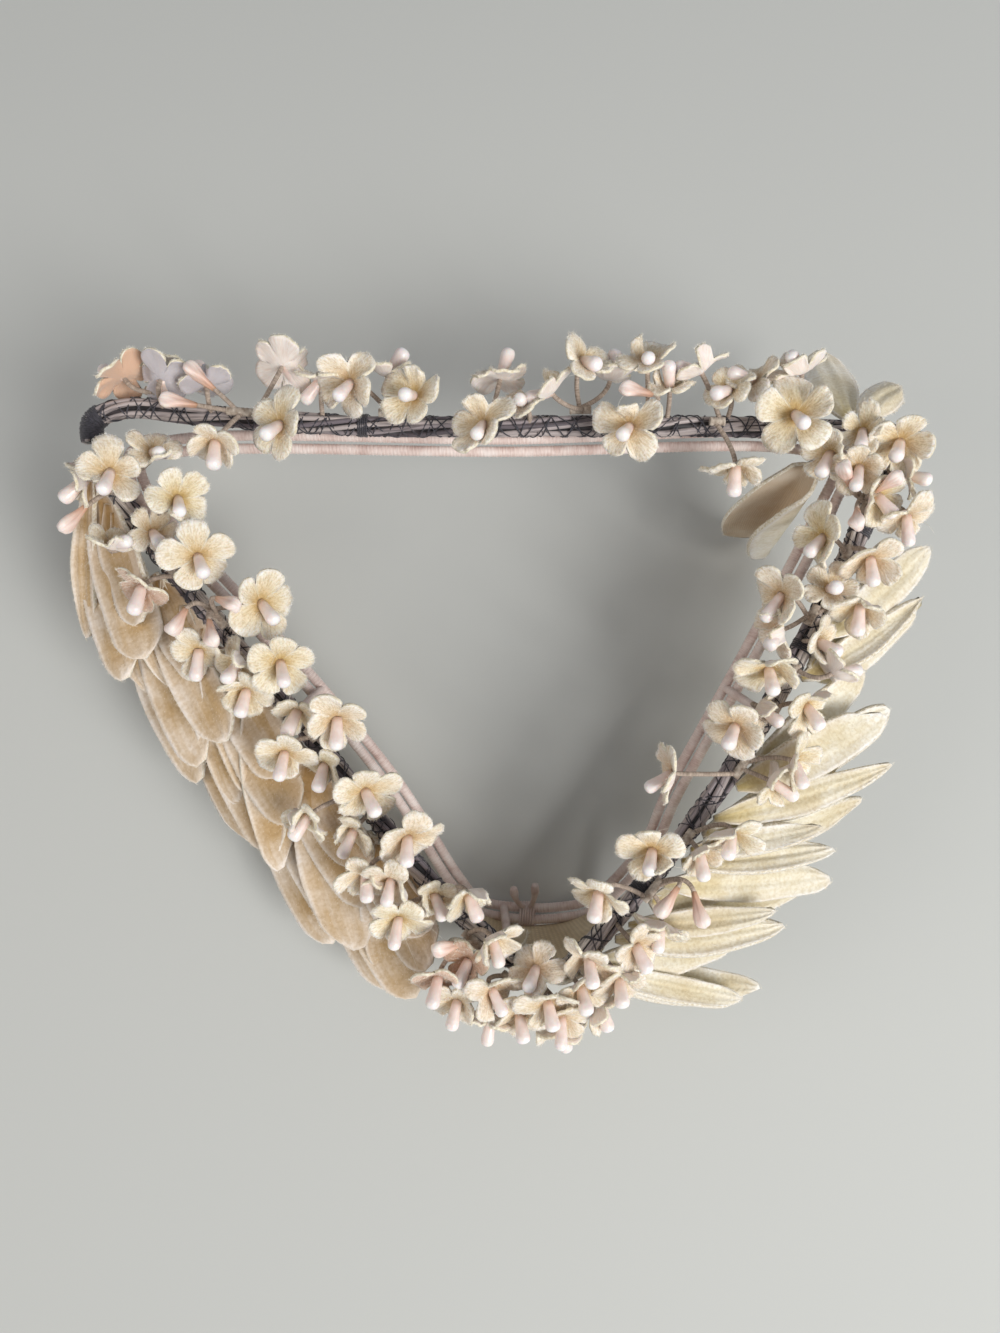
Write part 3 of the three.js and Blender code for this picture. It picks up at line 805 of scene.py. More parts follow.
def leaf_root(stem, along):
    """A place on a stem in the frame, and the level ways along it and out from it."""
    place, ahead = along_stem(stem, along)
    flow = unit(ahead * [1, 1, 0])
    return from_rim(place), flow, np.array([flow[1], -flow[0], 0])


def turned_level(way, degrees):
    """A level direction turned to the right by some degrees."""
    c, s = math.cos(math.radians(degrees)), math.sin(math.radians(degrees))
    return np.array([way[0] * c + way[1] * s, way[1] * c - way[0] * s, 0])


def rim_place(row):
    """The place of a table's row on the rim."""
    return np.array([row["across"], row["back"], row["lift"]], float)


def note_leaf(name, line, out, **leaf):
    """Notes a leaf in its group: its tie, bend and tip, the way out from the stem, and its form."""
    leaf_groups[name].append({**PLAIN_LEAF, **leaf, "line": line, "out": out})


def bend_of(tie, tip, out, sink=0):
    """Where the line of a hanging leaf bends."""
    return tie + (tip - tie) * HANG_BEND + out * HANG_BOW - UP * sink


leaf_rng = np.random.default_rng(LEAF_SEED)
for spray in SPRAYS:
    stem = "stem_" + spray["spray"].split("_")[0]
    place, flow, out = leaf_root(stem, spray["along"])
    for row in WING_ROWS[stem]:
        stray = leaf_rng.normal(0, row["stray"], 4)
        blade = place + out * row["reach"] * spray["spread"] - UP * row["sink"]
        heading = turned_level(flow, row["flow"] + spray["turn"] + FLOW_STRAY * stray[0])
        tip = blade + heading * row["length"] * spray["size"] * (1 + LENGTH_STRAY * stray[1])
        tip = tip + UP * row["rise"]
        tie = place + out * (STEM_RADIUS + LEAF_TIE)
        note_leaf("leaves_" + spray["spray"], (tie, blade, tip), out,
                  width=row["width"] * (1 + WIDTH_STRAY * stray[2]),
                  roll=row["roll"] + ROLL_STRAY * stray[3],
                  cup=leaf_rng.uniform(0.05, 0.22),
                  taper=leaf_rng.uniform(0.25, 0.6) if stem == "stem_right" else 0)
for row in HANGING:
    place, flow, out = leaf_root(row["stem"], row["along"])
    tie = place + out * row["out"]
    out = out * np.sign(row["out"])
    tip = np.array([row["across"], row["back"], row["height"]]) + SHIFT
    note_leaf(row["name"], (tie, bend_of(tie, tip, out), tip), out,
              width=row["width"], cup=row["cup"], taper=row["taper"], fold=row["fold"])
for row in BLADES:
    place, flow, out = leaf_root("stem_" + row["spray"].split("_")[0], row["along"])
    tie = place + out * (STEM_RADIUS + LEAF_TIE)
    tip = from_rim(rim_place(row))
    note_leaf("leaves_" + row["spray"], (tie, bend_of(tie, tip, out, BLADE_SINK), tip), out,
              width=row["width"], roll=row["roll"], taper=row["taper"])
print("Leaves:", sum(len(group) for group in leaf_groups.values()))

# %% [markdown]
# One formula shapes them all. It gives the grid the outline's width, then a cup, a wave and a crease, by
# amounts drawn from a fixed seed, because a leaf sculpted once and copied would look stamped. One leaf at a
# corner is folded over, so the formula can also roll one half of a leaf up.

# %% Leaf shape
LEAF_OUTLINE = np.array([[0, 0.2, 0], [0.2, 0.68, 0], [0.55, 1, 0], [0.85, 0.9, 0], [1, 0.55, 0]])
LEAF_FACE = math.radians(24)
LEAF_ROWS = 32
LEAF_WALL = 0.9
TIP_SPAN = 0.14
TIP_START = 6.14
TAPER_SPAN = 0.6
TAPER_START = 0.66
RIDGE_WIDTH = 0.13
CREASE_DEPTH = 0.4
CREASE_WIDTH = 0.16
RIPPLE_DEPTH = 0.12
RIPPLES = 9
FOLD_START = 0.05
FOLD_RADIUS = 2
outline_line = smooth_route(LEAF_OUTLINE, count=200)


def leaf_shape(leaf, rng):
    """The formula of one leaf: a cupped blade on a bowed line, waved, creased, and folded if it says so."""
    line = bow(*leaf["line"], LEAF_ROWS + 1)
    face = UP * math.cos(LEAF_FACE) + leaf["out"] * math.sin(LEAF_FACE)
    ahead = unit(np.gradient(line, axis=0))
    across = unit(np.cross(ahead, face))
    off = np.cross(across, ahead)
    roll = np.radians(leaf["roll"])
    across, off = across * np.cos(roll) + off * np.sin(roll), off * np.cos(roll) - across * np.sin(roll)
    rows = np.arange(LEAF_ROWS + 1)
    waves = rng.uniform(1.2, 2.6)
    start = rng.uniform(0, 6, 3)
    wave = rng.uniform(0.2, 0.55)
    twist = rng.uniform(-0.14, 0.14)
    slant = rng.uniform(-0.09, 0.09)
    curl = rng.uniform(0.1, 1.5, 2)
    ridge = rng.uniform(-0.15, 0.35, 2)

    def shape(u, v):
        side = 2 * u - 1
        which = (side > 0).astype(int)
        belly = np.sin(np.pi * v)
        round_off = np.sqrt(np.clip(1 - (np.clip(v / TIP_SPAN - TIP_START, 0, 1)) ** 2, 0, 1))
        row = v * (1 + slant * side * v ** 4 * round_off - abs(slant)) * LEAF_ROWS
        middle, over, above = [sampled(field, row, rows) for field in (line, across, off)]
        half = np.interp(v, outline_line[:, 0], outline_line[:, 1]) * leaf["width"] / 2
        half = half * round_off * (1 - leaf["taper"] * np.clip(v / TAPER_SPAN - TAPER_START, 0, 1) ** 1.3)
        rise = curl[which] * side ** 4 * belly
        rise = rise + ridge[which] * np.exp(-((np.abs(side) - 0.5) / RIDGE_WIDTH) ** 2) * belly
        rise = rise + wave * side ** 2 * v * np.sin(2 * np.pi * waves * v + start[which])
        rise = rise - CREASE_DEPTH * np.exp(-(side / CREASE_WIDTH) ** 2) * belly
        rise = rise + RIPPLE_DEPTH * np.sin(RIPPLES * side + start[2]) * v
        rise = rise * round_off + (twist * v * side - leaf["cup"] * side ** 2) * half + LEAF_WALL / 2
        width = side * half
        if leaf["fold"]:
            past = np.clip(FOLD_START - side, 0, None) * half
            rolled = np.minimum(past / FOLD_RADIUS, leaf["fold"])
            flap = past - rolled * FOLD_RADIUS
            width = np.maximum(side, FOLD_START) * half - FOLD_RADIUS * np.sin(rolled)
            width = width - flap * np.cos(rolled)
            rise = rise + FOLD_RADIUS * (1 - np.cos(rolled)) + flap * np.sin(rolled)
        return middle + over * width[:, None] + above * rise[:, None]

    return shape


print("A leaf is widest at", round(outline_line[np.argmax(outline_line[:, 1]), 0], 2), "of its length")

# %% [markdown]
# Hairs are only noted down here, as a root and a way for each one, while the sheets are made. They are laid
# at the end: lying ones over each face, brushed towards the rim, and standing ones all along the cut.

# %% Leaves
BLADE_SEED = 100
LEAF_RIM_HAIRS = 280
HAIR_AHEAD = 0.75
HAIR_OFF = 0.4
HAIR_STRAY = 0.4
hairs = {"leaf": [], "petal": []}


def comb(kind, shape, rng, count, length):
    """Notes hairs over the face of a warped sheet, brushed towards its rim."""
    u = rng.uniform(0.03, 0.97, count)
    v = rng.uniform(0.12, 0.96, count) ** 0.6
    root = shape(u, v)
    ahead = unit(shape(u, v + 0.01) - root)
    off = unit(np.cross(shape(u + 0.004, v) - root, ahead))
    way = unit(HAIR_AHEAD * ahead + HAIR_OFF * off + rng.normal(0, HAIR_STRAY, (count, 3)))
    hairs[kind].append(np.hstack([root, way * length * rng.uniform(0.4, 1, (count, 1))]))


def fringe(kind, rim, inside, rng, length):
    """Notes hairs that stand out from a cut rim; inside are places a little way in from it."""
    way = unit(unit(rim - inside) + rng.normal(0, HAIR_STRAY, rim.shape))
    hairs[kind].append(np.hstack([rim, way * length * rng.uniform(0.3, 1, (len(rim), 1))]))


for group_number, (node, group) in enumerate(leaf_groups.items()):
    rng = np.random.default_rng(BLADE_SEED + group_number)
    leaf_bm = new_bmesh()
    for leaf in group:
        shape = leaf_shape(leaf, rng)
        warped_grid(leaf_bm, shape, across=16, along=LEAF_ROWS, tone=rng.uniform(0, 1))
        edge = rng.uniform(0.1, 1, LEAF_RIM_HAIRS) ** 0.8
        which = rng.integers(0, 2, LEAF_RIM_HAIRS) * 1.0
        fringe("leaf", shape(which, edge), shape(which * 0.84 + 0.08, edge - 0.02), rng, length=0.75)
        comb("leaf", shape, rng, count=240, length=0.7)
    kind = LEAF_KINDS.get(node, "right" if "right" in node else "left")
    finish_piece("velvet_" + node, leaf_bm, LEAF_FINISHES[kind], [node], sheet=LEAF_WALL)
print("Leaf pieces:", len(leaf_groups))

# %% [markdown]
# At the front a scrap of coarse net lines the corner, from the low wires up to the bound stems. It is one
# grid stretched between two rails, the wire and the stems, and its weave is two waves across each other. A
# cloth simulation could hang it too, but so small a scrap only sags a little, which a formula can say.

# %% Front lining
LINING_WALL = 0.4
LINING_SAG = 1.6
RAIL_PLACES = 40
LOW_RAIL = [[-5, -58.6, -27.8], [3, -61.2, -28.2], [14, -61.2, -28.2], [21, -58.6, -27.6]]
HIGH_RAIL = [[-7, -54, -2.9], [1, -61, -2.9], [9, -66.6, -2.9], [14, -63.6, -2.9], [20, -57, -2.9],
             [25, -51, -2.9]]
rails = [smooth_route(rail, RAIL_PLACES) for rail in (LOW_RAIL, HIGH_RAIL)]


def lining_shape(u, v):
    """The formula of the lining: straight from rail to rail, slack in the middle."""
    low, high = [sampled(rail, u, np.linspace(0, 1, RAIL_PLACES)) for rail in rails]
    places = low + (high - low) * v[:, None]
    places[:, 1] -= LINING_SAG * np.sin(np.pi * v) * (0.6 + 0.4 * np.sin(7 * u + 3 * v))
    return from_rim(places)


net = leaf_back("lining_net", "cdb68e", "f0dfbd", (19, 17))
lining_bm = new_bmesh()
warped_grid(lining_bm, lining_shape, across=30, along=24)
lining = finish_piece("front_lining", lining_bm, [net, net, net], sheet=LINING_WALL)
print("Front lining:", len(lining.data.polygons), "faces")

# %% [markdown]
# ## Velvet blossoms
# Each blossom is one piece of velvet cut to five round petals and cupped by hand, so no two stand alike. A
# polar grid does it: one side of the grid runs round the blossom, the other from its middle to its rim. The
# rim is pushed out in five lobes, then each petal is bent up, hollowed and crimped by its own amounts. Five
# petals made apart would be simpler to shape, but the joins would show in the middle.

# %% Blossom finishes
PETAL_GLOW = {"Subsurface Weight": 0.2, "Subsurface Radius": (1.0, 0.75, 0.5), "Subsurface Scale": 0.001}
petal = new_finish("petal_velvet", {
    "Roughness": 0.9, "Sheen Weight": 0.45, "Sheen Roughness": 0.35, **PETAL_GLOW})
petal_out = uv_of(petal, "Y")
# All three petal ramps darken towards the middle: painted shade in the cupped centre of the blossom.
petal_cream = ramp(petal, petal_out, [
    (0.0, "b98f50"), (0.2, "d8bd82"), (0.48, "f0e4c4"), (0.8, "faf4e4"), (1.0, "fffcf6")])
petal_blush = ramp(petal, petal_out, [(0.0, "cda883"), (0.3, "ecd2bd"), (0.65, "f8eae2"), (1.0, "fdf6f2")])
petal_tan = ramp(petal, petal_out, [(0.0, "a0704f"), (0.5, "c79a7c"), (1.0, "ddb9a0")])
petal_tone = tone_of(petal)
petal_shade = mix(petal, between(petal, petal_tone, 0.0, 1.0, 0.0, 0.6), petal_cream, petal_blush)
petal_shade = mix(petal, between(petal, petal_tone, 0.0, 1.0, 0.7, 1.0), petal_shade, petal_tan)
petal_shade = stain(petal, 0.45, petal_shade, grain(petal, 320, 2), 0.3, "e4d5b4", 0.6)
petal_lay = weighted(petal, 0.6, streaks(petal, 90, 5, 3), grain(petal, 2400, 2))
surface(petal, stain(petal, 0.5, petal_shade, petal_lay, 0.4, "cdbb90", 0.56), petal_lay, 0.34)

petal_back = new_finish("petal_back", {"Roughness": 0.85, "Sheen Weight": 0.35, **PETAL_GLOW})
back_tone = tone_of(petal_back)
back_ribs = streaks(petal_back, 150, 3, 2)
back_shade = ramp(petal_back, grain(petal_back, 300, 3), [(0.3, "eedccb"), (0.7, "fdf6ee")])
back_lay = ramp(petal_back, back_ribs, [(0.35, "ecd8d0"), (0.65, "fffaf8")])
back_shade = mix(petal_back, between(petal_back, back_tone, 0.35, 0.8), back_shade, back_lay)
back_tan = between(petal_back, back_tone, 0.0, 0.9, 0.75, 0.9)
back_shade = mix(petal_back, back_tan, back_shade, paint("dfb697"))
back_grey = between(petal_back, back_tone, 0.8, 0.0, -0.3, -0.1)
surface(petal_back, mix(petal_back, back_grey, back_shade, paint("b3b0b8")), back_ribs, 0.1)
petal_edge = cut_edge("petal_cut_edge", "e3d7b9", "fbf5e3")

# %% [markdown]
# The blossoms crowd the rim in no order, so a scatter tool would not set them right. Each has its own row:
# its sprig, its place on the rim, the way it leans and its width. The half-hidden ones and the buds follow.

# %% Blossom tables
STAND = ("sprig", "across", "back", "lift", "toward", "lean")
BLOSSOMS = table(STAND + ("width",), [
    ["back_1", -77, 59, 3, 115, 100, 13], ["back_1", -66, 60, 0, 80, 100, 11],
    ["back_2", -44, 60.5, 6, 75, 125, 14], ["back_2", -43.4, 48, 9, 185, 30, 14],
    ["back_2", -57, 45.5, 7, 255, 55, 12], ["back_3", -29.6, 57, 7, 200, 40, 14],
    ["back_3", -17, 54, 8, 170, 20, 14], ["back_4", -3, 48, 9, 160, 40, 14],
    ["back_4", 0, 58.5, 4, 80, 95, 13], ["back_5", 10.6, 55, 6, 130, 75, 12],
    ["back_5", 16.4, 61, 7, 45, 45, 13], ["back_6", 29.6, 61, 7, 100, 50, 13],
    ["back_6", 26, 47.6, 9, 180, 30, 14], ["back_7", 41, 59.5, 5, 125, 75, 13],
    ["back_7", 47.6, 41, 6, 270, 80, 13], ["back_8", 58.4, 49.8, 10, 200, 12, 16],
    ["back_8", 61, 59, 6, 110, 75, 13], ["back_9", 80, 45, 8, 235, 35, 14],
    ["right_1", 65.4, 26, 7, 190, 65, 13], ["right_1", 74, 22, 8, 260, 50, 13],
    ["right_2", 82, 31, 6, 275, 65, 12], ["right_3", 57, 14.5, 7, 200, 60, 13],
    ["right_3", 72.8, 12.6, 6, 250, 60, 13], ["right_4", 53.4, 0, 9, 270, 50, 14],
    ["right_4", 66.6, -1.5, 7, 40, 95, 12], ["right_5", 47, -11.5, 9, 230, 45, 14],
    ["right_5", 61.6, -7.8, 5, 330, 50, 13], ["right_6", 35, -21.4, 8, 175, 85, 13],
    ["right_6", 54.4, -23, 5, 335, 70, 12], ["right_7", 30.2, -36.4, 10, 205, 20, 14],
    ["right_7", 46.6, -33, 7, 265, 55, 13], ["right_8", 20, -44.6, 8, 240, 60, 13],
    ["right_8", 33, -52, 4, 250, 65, 12], ["front_1", 18, -58, 8, 240, 60, 12],
    ["front_1", 20.4, -69, 2, 310, 75, 12], ["front_2", 9.4, -66.6, 8, 290, 40, 13],
    ["front_2", 12, -75, -2, 275, 85, 12], ["front_3", -2, -64.4, 7, 315, 50, 13],
    ["front_3", -1.6, -72, 0, 250, 75, 12], ["left_1", -84, 38, 4.5, 190, 70, 11],
    ["left_1", -77.6, 38.6, 9, 350, 30, 13], ["left_2", -64.6, 33.4, 8, 5, 40, 14],
    ["left_2", -79, 24, 6, 60, 70, 11], ["left_3", -60.2, 22, 9, 320, 30, 14],
    ["left_3", -72, 16.6, 5.8, 235, 55, 12], ["left_4", -48, 12.6, 8, 0, 40, 14],
    ["left_5", -61, 3.6, 5, 270, 36, 12], ["left_5", -51, -4.4, 6, 255, 46, 12],
    ["left_5", -43.6, 1, 10, 315, 35, 14], ["left_6", -32.4, -10, 9, 285, 40, 14],
    ["left_6", -43.4, -17, 6, 270, 38, 13], ["left_7", -27, -24.4, 9, 305, 40, 14],
    ["left_7", -38.4, -30, 5.6, 225, 55, 12], ["left_8", -18.6, -33.6, 9, 300, 45, 14],
    ["left_8", -27, -41.6, 6, 260, 52, 12], ["left_9", -20.6, -50.6, 5, 275, 40, 13],
    ["left_9", -6.6, -45, 8, 300, 60, 12], ["left_10", -1.8, -54, 8, 305, 55, 12],
    ["left_10", -12.4, -62.4, 5, 260, 52, 12], ["left_1", -70.5, 43, 5, 60, 35, 12],
    ["left_5", -52, 1, 6.6, 215, 45, 12], ["left_8", -21.5, -42, 8, 250, 55, 12],
    ["right_2", 66.5, 43, 7, 230, 45, 12], ["back_9", 82, 39, 4, 20, 60, 11],
    ["right_3", 57.5, 7.4, 4, 195, 75, 12], ["right_6", 59.2, -19, 5, 335, 60, 12],
    ["back_5", 22.6, 58.6, 2.6, 85, 80, 12], ["back_8", 52, 57.6, 5, 140, 60, 12],
])
TUCKED = table(STAND + ("width",), [
    ["back_1", -69, 58, 5, 80, 135, 12], ["back_2", -59.5, 57, 5, 100, 125, 11],
    ["back_2", -36.5, 58, 4, 85, 85, 12], ["back_3", -23, 59, 4, 85, 80, 11],
    ["back_4", 5.5, 53, 4, 120, 60, 11], ["back_6", 34.5, 56, 5, 95, 60, 11],
    ["back_7", 46.5, 55.5, 6, 150, 40, 11], ["back_9", 73, 47, 7, 160, 30, 11],
    ["right_2", 72, 40, 8, 230, 40, 11], ["right_2", 75.5, 34.5, 7, 300, 40, 11],
    ["left_2", -71, 27, 4, 30, 40, 11], ["left_6", -41, -8.5, 4, 250, 55, 11],
    ["left_7", -35.5, -19.5, 4, 240, 50, 11], ["left_8", -29.5, -33, 3.5, 235, 55, 11],
    ["left_9", -13.5, -46, 4, 280, 45, 11], ["front_3", -8.5, -68, 3, 245, 45, 12],
    ["front_3", -6, -59.5, 5, 200, 40, 11], ["front_3", 4, -70.5, 4, 265, 45, 12],
    ["front_2", 7.5, -61.5, 5, 130, 35, 12], ["front_2", 12.5, -71, 4, 280, 40, 12],
    ["front_1", 16, -64.5, 6, 320, 35, 12], ["front_1", 24, -63, 5, 300, 45, 12],
    ["front_1", 27, -56, 6, 320, 45, 12], ["right_7", 40, -37, 6, 300, 50, 11],
    ["right_5", 52.5, -8, 4, 330, 60, 11], ["right_4", 64, 5, 5, 350, 50, 11],
    ["right_3", 67, 15.5, 5, 120, 30, 11],
])
BUDS = table(STAND + ("length",), [
    ["back_2", -57.6, 56, 5, 140, 70, 8], ["back_2", -61, 53, 5, 175, 70, 8],
    ["back_6", 31, 54.4, 8, 175, 70, 8], ["right_2", 70, 36, 8, 130, 45, 7],
    ["right_2", 74.4, 34.6, 9, 40, 40, 7], ["right_2", 71, 31.6, 9, 250, 45, 7],
    ["right_8", 36, -44, 7, 230, 70, 8], ["right_8", 39, -45, 6, 285, 75, 8],
    ["left_1", -84, 33, 4, 230, 70, 8], ["left_4", -62.4, 11.8, 8.4, 245, 60, 7],
    ["left_4", -58, 9.6, 9, 290, 60, 7], ["left_4", -56.4, 13.6, 10, 340, 60, 7],
    ["left_10", -7.4, -56, 6, 185, 65, 7],
])
ARMS = ("back", "right", "front", "left")
for number, row in enumerate(BLOSSOMS + TUCKED, 1):
    row["number"] = number
sprig_names = list(dict.fromkeys(row["sprig"] for row in BLOSSOMS))


def on_arm(rows, arm):
    """The rows whose sprigs stand on one arm of the rim."""
    return [row for row in rows if row["sprig"].startswith(arm)]


print("Blossoms:", len(BLOSSOMS), "and", len(TUCKED), "half hidden, buds:", len(BUDS))

# %% Blossom places
SPIN_STEP = 26


def facing(row):
    """The way a blossom or bud faces, on the rim."""
    toward, lean = math.radians(row["toward"]), math.radians(row["lean"])
    return np.array([math.sin(lean) * math.cos(toward), math.sin(lean) * math.sin(toward), math.cos(lean)])


def turn_to(way):
    """The shortest turn that takes straight up to the given way."""
    return np.array(Vector((0, 0, 1)).rotation_difference(Vector(way)).to_matrix())


def own_turn(row):
    """The turn from the own frame of a blossom or bud, its axis up, to the frame."""
    spin = np.array(Matrix.Rotation(math.radians(SPIN_STEP * row.get("number", 0)), 3, "Z"))
    return RIM_TURN @ turn_to(facing(row)) @ spin


def placed(row):
    """A function that takes places in the own frame of a blossom or bud to the frame."""
    turn = own_turn(row)
    middle = from_rim(rim_place(row))
    return lambda places: places @ turn.T + middle


def turned(radius, turn, height):
    """Places round an upright axis."""
    return np.stack([radius * np.cos(turn), radius * np.sin(turn), height], axis=1)


print("The first blossom faces", facing(BLOSSOMS[0]).round(2), "on the rim")

# %% Blossom shape
PETALS = 5
PETAL_NOTCH = 0.5
PETAL_FLAT = 0.26
PETAL_CUP = math.radians(19)
PETAL_FOLD = 0.5
PETAL_WALL = 0.6
PETAL_EASE = 1.1
PETAL_TOP = 1.0
LOBE_POWER = 2.6
FLARE_POWER = 2.5
FOLDED_SHARE = 0.35
FOLDED_LIFT = math.radians(48)
DIMPLE_DEPTH = 0.06
DIMPLE_WIDTH = 0.2


def petal_shape(row, rng):
    """The formula of one blossom: petals bent up from a flat middle, each hollowed and crimped apart."""
    radius = row["width"] / 2 * PETAL_EASE
    lift = np.radians(rng.normal(2, 17, PETALS))
    if rng.uniform() < FOLDED_SHARE:
        lift[rng.integers(0, PETALS)] += FOLDED_LIFT
    hollow = rng.uniform(-0.28, 0.24, PETALS)
    crimp = rng.uniform(0.0, 0.03, PETALS)
    ripple = rng.uniform(2.0, 4.5, PETALS)
    flare = rng.uniform(-0.02, 0.22, PETALS)
    share = rng.uniform(0.86, 1.06, PETALS)
    lean = rng.uniform(-0.12, 0.12, PETALS)
    place = placed(row)

    def shape(u, v):
        angle = -2 * np.pi * u
        turn = np.mod(-PETALS * u, PETALS)
        which = np.clip(turn.astype(int), 0, PETALS - 1)
        side = 2 * (turn - which) - 1
        lobe = np.sqrt(np.clip(1 - np.abs(side) ** LOBE_POWER, 0, 1))
        reach = v * (PETAL_NOTCH + (share[which] - PETAL_NOTCH) * lobe)
        free = np.clip(reach - PETAL_FLAT, 0, None)
        own = np.clip((reach - PETAL_NOTCH) / (1 - PETAL_NOTCH), 0, 1)
        bend = PETAL_CUP * (1 + PETAL_FOLD * np.cos(2 * angle + row["number"]))
        bend = bend + lift[which] * (1 - side ** 6)
        level = reach - free * (1 - np.cos(bend))
        height = free * np.sin(bend) + hollow[which] * own * side ** 2 - flare[which] * own ** FLARE_POWER
        height = height + crimp[which] * own * np.cos(np.pi * ripple[which] * side)
        height = height - DIMPLE_DEPTH * np.exp(-(reach / DIMPLE_WIDTH) ** 2)
        angle = angle + lean[which] * own * (1 - side ** 2)
        return place(turned(level, angle, height) * radius + [0, 0, PETAL_TOP])

    return shape


print("Petals to a blossom:", PETALS, "and a folded one on about", FOLDED_SHARE, "of them")

# %% Blossoms
PETAL_SEED = 300
PETAL_RIM_HAIRS = 210
PETAL_RIM = np.ones(PETAL_RIM_HAIRS)
PINK_LEAN = 72
PINK_TONES = (0.15, 0.5)
CREAM_TONES = (0, 0.3)
TAN_TONE = 0.9
TAN_BLOSSOMS = (1, 45, 59, 85)
GREY_TONE = -0.3
GREY_BLOSSOMS = (2, 69, 70)
own_tones = {**dict.fromkeys(TAN_BLOSSOMS, TAN_TONE), **dict.fromkeys(GREY_BLOSSOMS, GREY_TONE)}

for sprig in sprig_names:
    petal_bm = new_bmesh()
    for row in [row for row in BLOSSOMS + TUCKED if row["sprig"] == sprig]:
        rng = np.random.default_rng(PETAL_SEED + row["number"])
        shape = petal_shape(row, rng)
        pink = row["lean"] > PINK_LEAN or sprig.startswith("front")
        blush = rng.uniform(*(PINK_TONES if pink else CREAM_TONES))
        warped_grid(petal_bm, shape, across=80, along=9, tone=own_tones.get(row["number"], blush))
        turn = rng.uniform(0, 1, PETAL_RIM_HAIRS)
        fringe("petal", shape(turn, PETAL_RIM), shape(turn, PETAL_RIM * 0.9), rng, length=0.6)
        comb("petal", shape, rng, count=250, length=1.3)
    finish_piece("petals_" + sprig, petal_bm, [petal, petal_back, petal_edge],
                 ["sprig_" + sprig], sheet=PETAL_WALL)
print("Petal pieces:", len(sprig_names))

# %% [markdown]
# ## Wax stamens and buds
# One stout wax stamen stands in each blossom: a pale pink shaft that swells to a rounded white end. It is a
# turned shape. A spin would make it too, but a grid rolled up round a short profile brings the UV map that
# the colours follow. The buds are folded pink petals dipped in wax: the same rolled grid, fluted and
# twisted, narrow at the twig and full at the far end.

# %% Wax finishes
WAX_GLOW = {"Subsurface Radius": (1.0, 0.6, 0.4), "Subsurface Scale": 0.0008}
wax = new_finish("stamen_wax", {
    "Roughness": 0.38, "Coat Weight": 0.5, "Coat Roughness": 0.2, "Subsurface Weight": 0.25, **WAX_GLOW})
wax_shade = ramp(wax, uv_of(wax, "Y"), [
    (0.0, "d8b9a4"), (0.25, "efdcd4"), (0.5, "f7ebe7"), (0.72, "fbf3f1"), (0.85, "fffcfc"),
    (1.0, "ffffff")])
wax_cloud = grain(wax, 700, 2)
surface(wax, stain(wax, 0.35, wax_shade, wax_cloud, 0.35, "ead8d0", 0.6), wax_cloud, 0.12)

bud_wax = new_finish("bud_wax", {
    "Roughness": 0.5, "Coat Weight": 0.25, "Coat Roughness": 0.3, "Subsurface Weight": 0.2, **WAX_GLOW})
bud_shade = ramp(bud_wax, uv_of(bud_wax, "Y"), [
    (0.0, "b08a6a"), (0.2, "dcb49c"), (0.55, "f2d8cb"), (0.85, "faece5"), (1.0, "fdf6f2")])
bud_streak = streaks(bud_wax, 12, 2, 3)
surface(bud_wax, stain(bud_wax, 0.4, bud_shade, bud_streak, 0.35, "cdaa9a", 0.62), bud_streak, 0.15)

# %% Stamens and buds
STAMEN_SEED = 500
STAMEN_PROFILE = np.array([
    [0, -0.3], [0.95, -0.2], [1.1, 1.0], [1.2, 2.4], [1.34, 3.6], [1.46, 4.5], [1.42, 5.1],
    [1.16, 5.65], [0.62, 5.95], [0, 6.05]])
STAMEN_FOOT = 0.6
STAMEN_DROOP = np.array([0, -0.7, 0])
STAMEN_STRAY = 0.22
BUD_PROFILE = np.array([[0, 0], [0.06, 0.32], [0.35, 0.52], [0.6, 0.85], [0.8, 1], [0.93, 0.78], [1, 0]])
BUD_RADIUS = 1.6
BUD_FLUTE = 0.16
BUD_FLUTES = 3
BUD_TWIST = 4


def stamen_shape(row, rng):
    """The formula of one stamen, standing in its blossom and drooping to the front."""
    place = placed(row)
    way = RIM_TURN @ unit(facing(row) + STAMEN_DROOP + rng.normal(0, STAMEN_STRAY, 3))
    lean = turn_to(own_turn(row).T @ way)
    size = STAMEN_PROFILE * [rng.uniform(0.92, 1.08), rng.uniform(0.92, 1.08)]
    steps = np.arange(len(size))

    def shape(u, v):
        radius, height = sampled(size, v * steps[-1], steps).T
        return place(turned(radius, -2 * np.pi * u, height) @ lean.T + [0, 0, STAMEN_FOOT])

    return shape


def bud_shape(row):
    """The formula of one bud: a fluted club on its twig."""
    place = placed(row)

    def shape(u, v):
        turn = -2 * np.pi * u
        radius = np.interp(v, BUD_PROFILE[:, 0], BUD_PROFILE[:, 1]) * BUD_RADIUS
        radius = radius * (1 + BUD_FLUTE * np.cos(BUD_FLUTES * turn + BUD_TWIST * v))
        return place(turned(radius, turn, v * row["length"]))

    return shape


for arm in ARMS:
    wax_bm = new_bmesh()
    for row in on_arm(BLOSSOMS + TUCKED, arm):
        shape = stamen_shape(row, np.random.default_rng(STAMEN_SEED + row["number"]))
        warped_grid(wax_bm, shape, across=14, along=len(STAMEN_PROFILE) - 1)
    finish_piece("stamens_" + arm, wax_bm, [wax])
    buds = on_arm(BUDS, arm)
    if buds:
        bud_bm = new_bmesh()
        for row in buds:
            warped_grid(bud_bm, bud_shape(row), across=20, along=16)
        finish_piece("buds_" + arm, bud_bm, [bud_wax])
print("Stamens and buds on", len(ARMS), "arms")

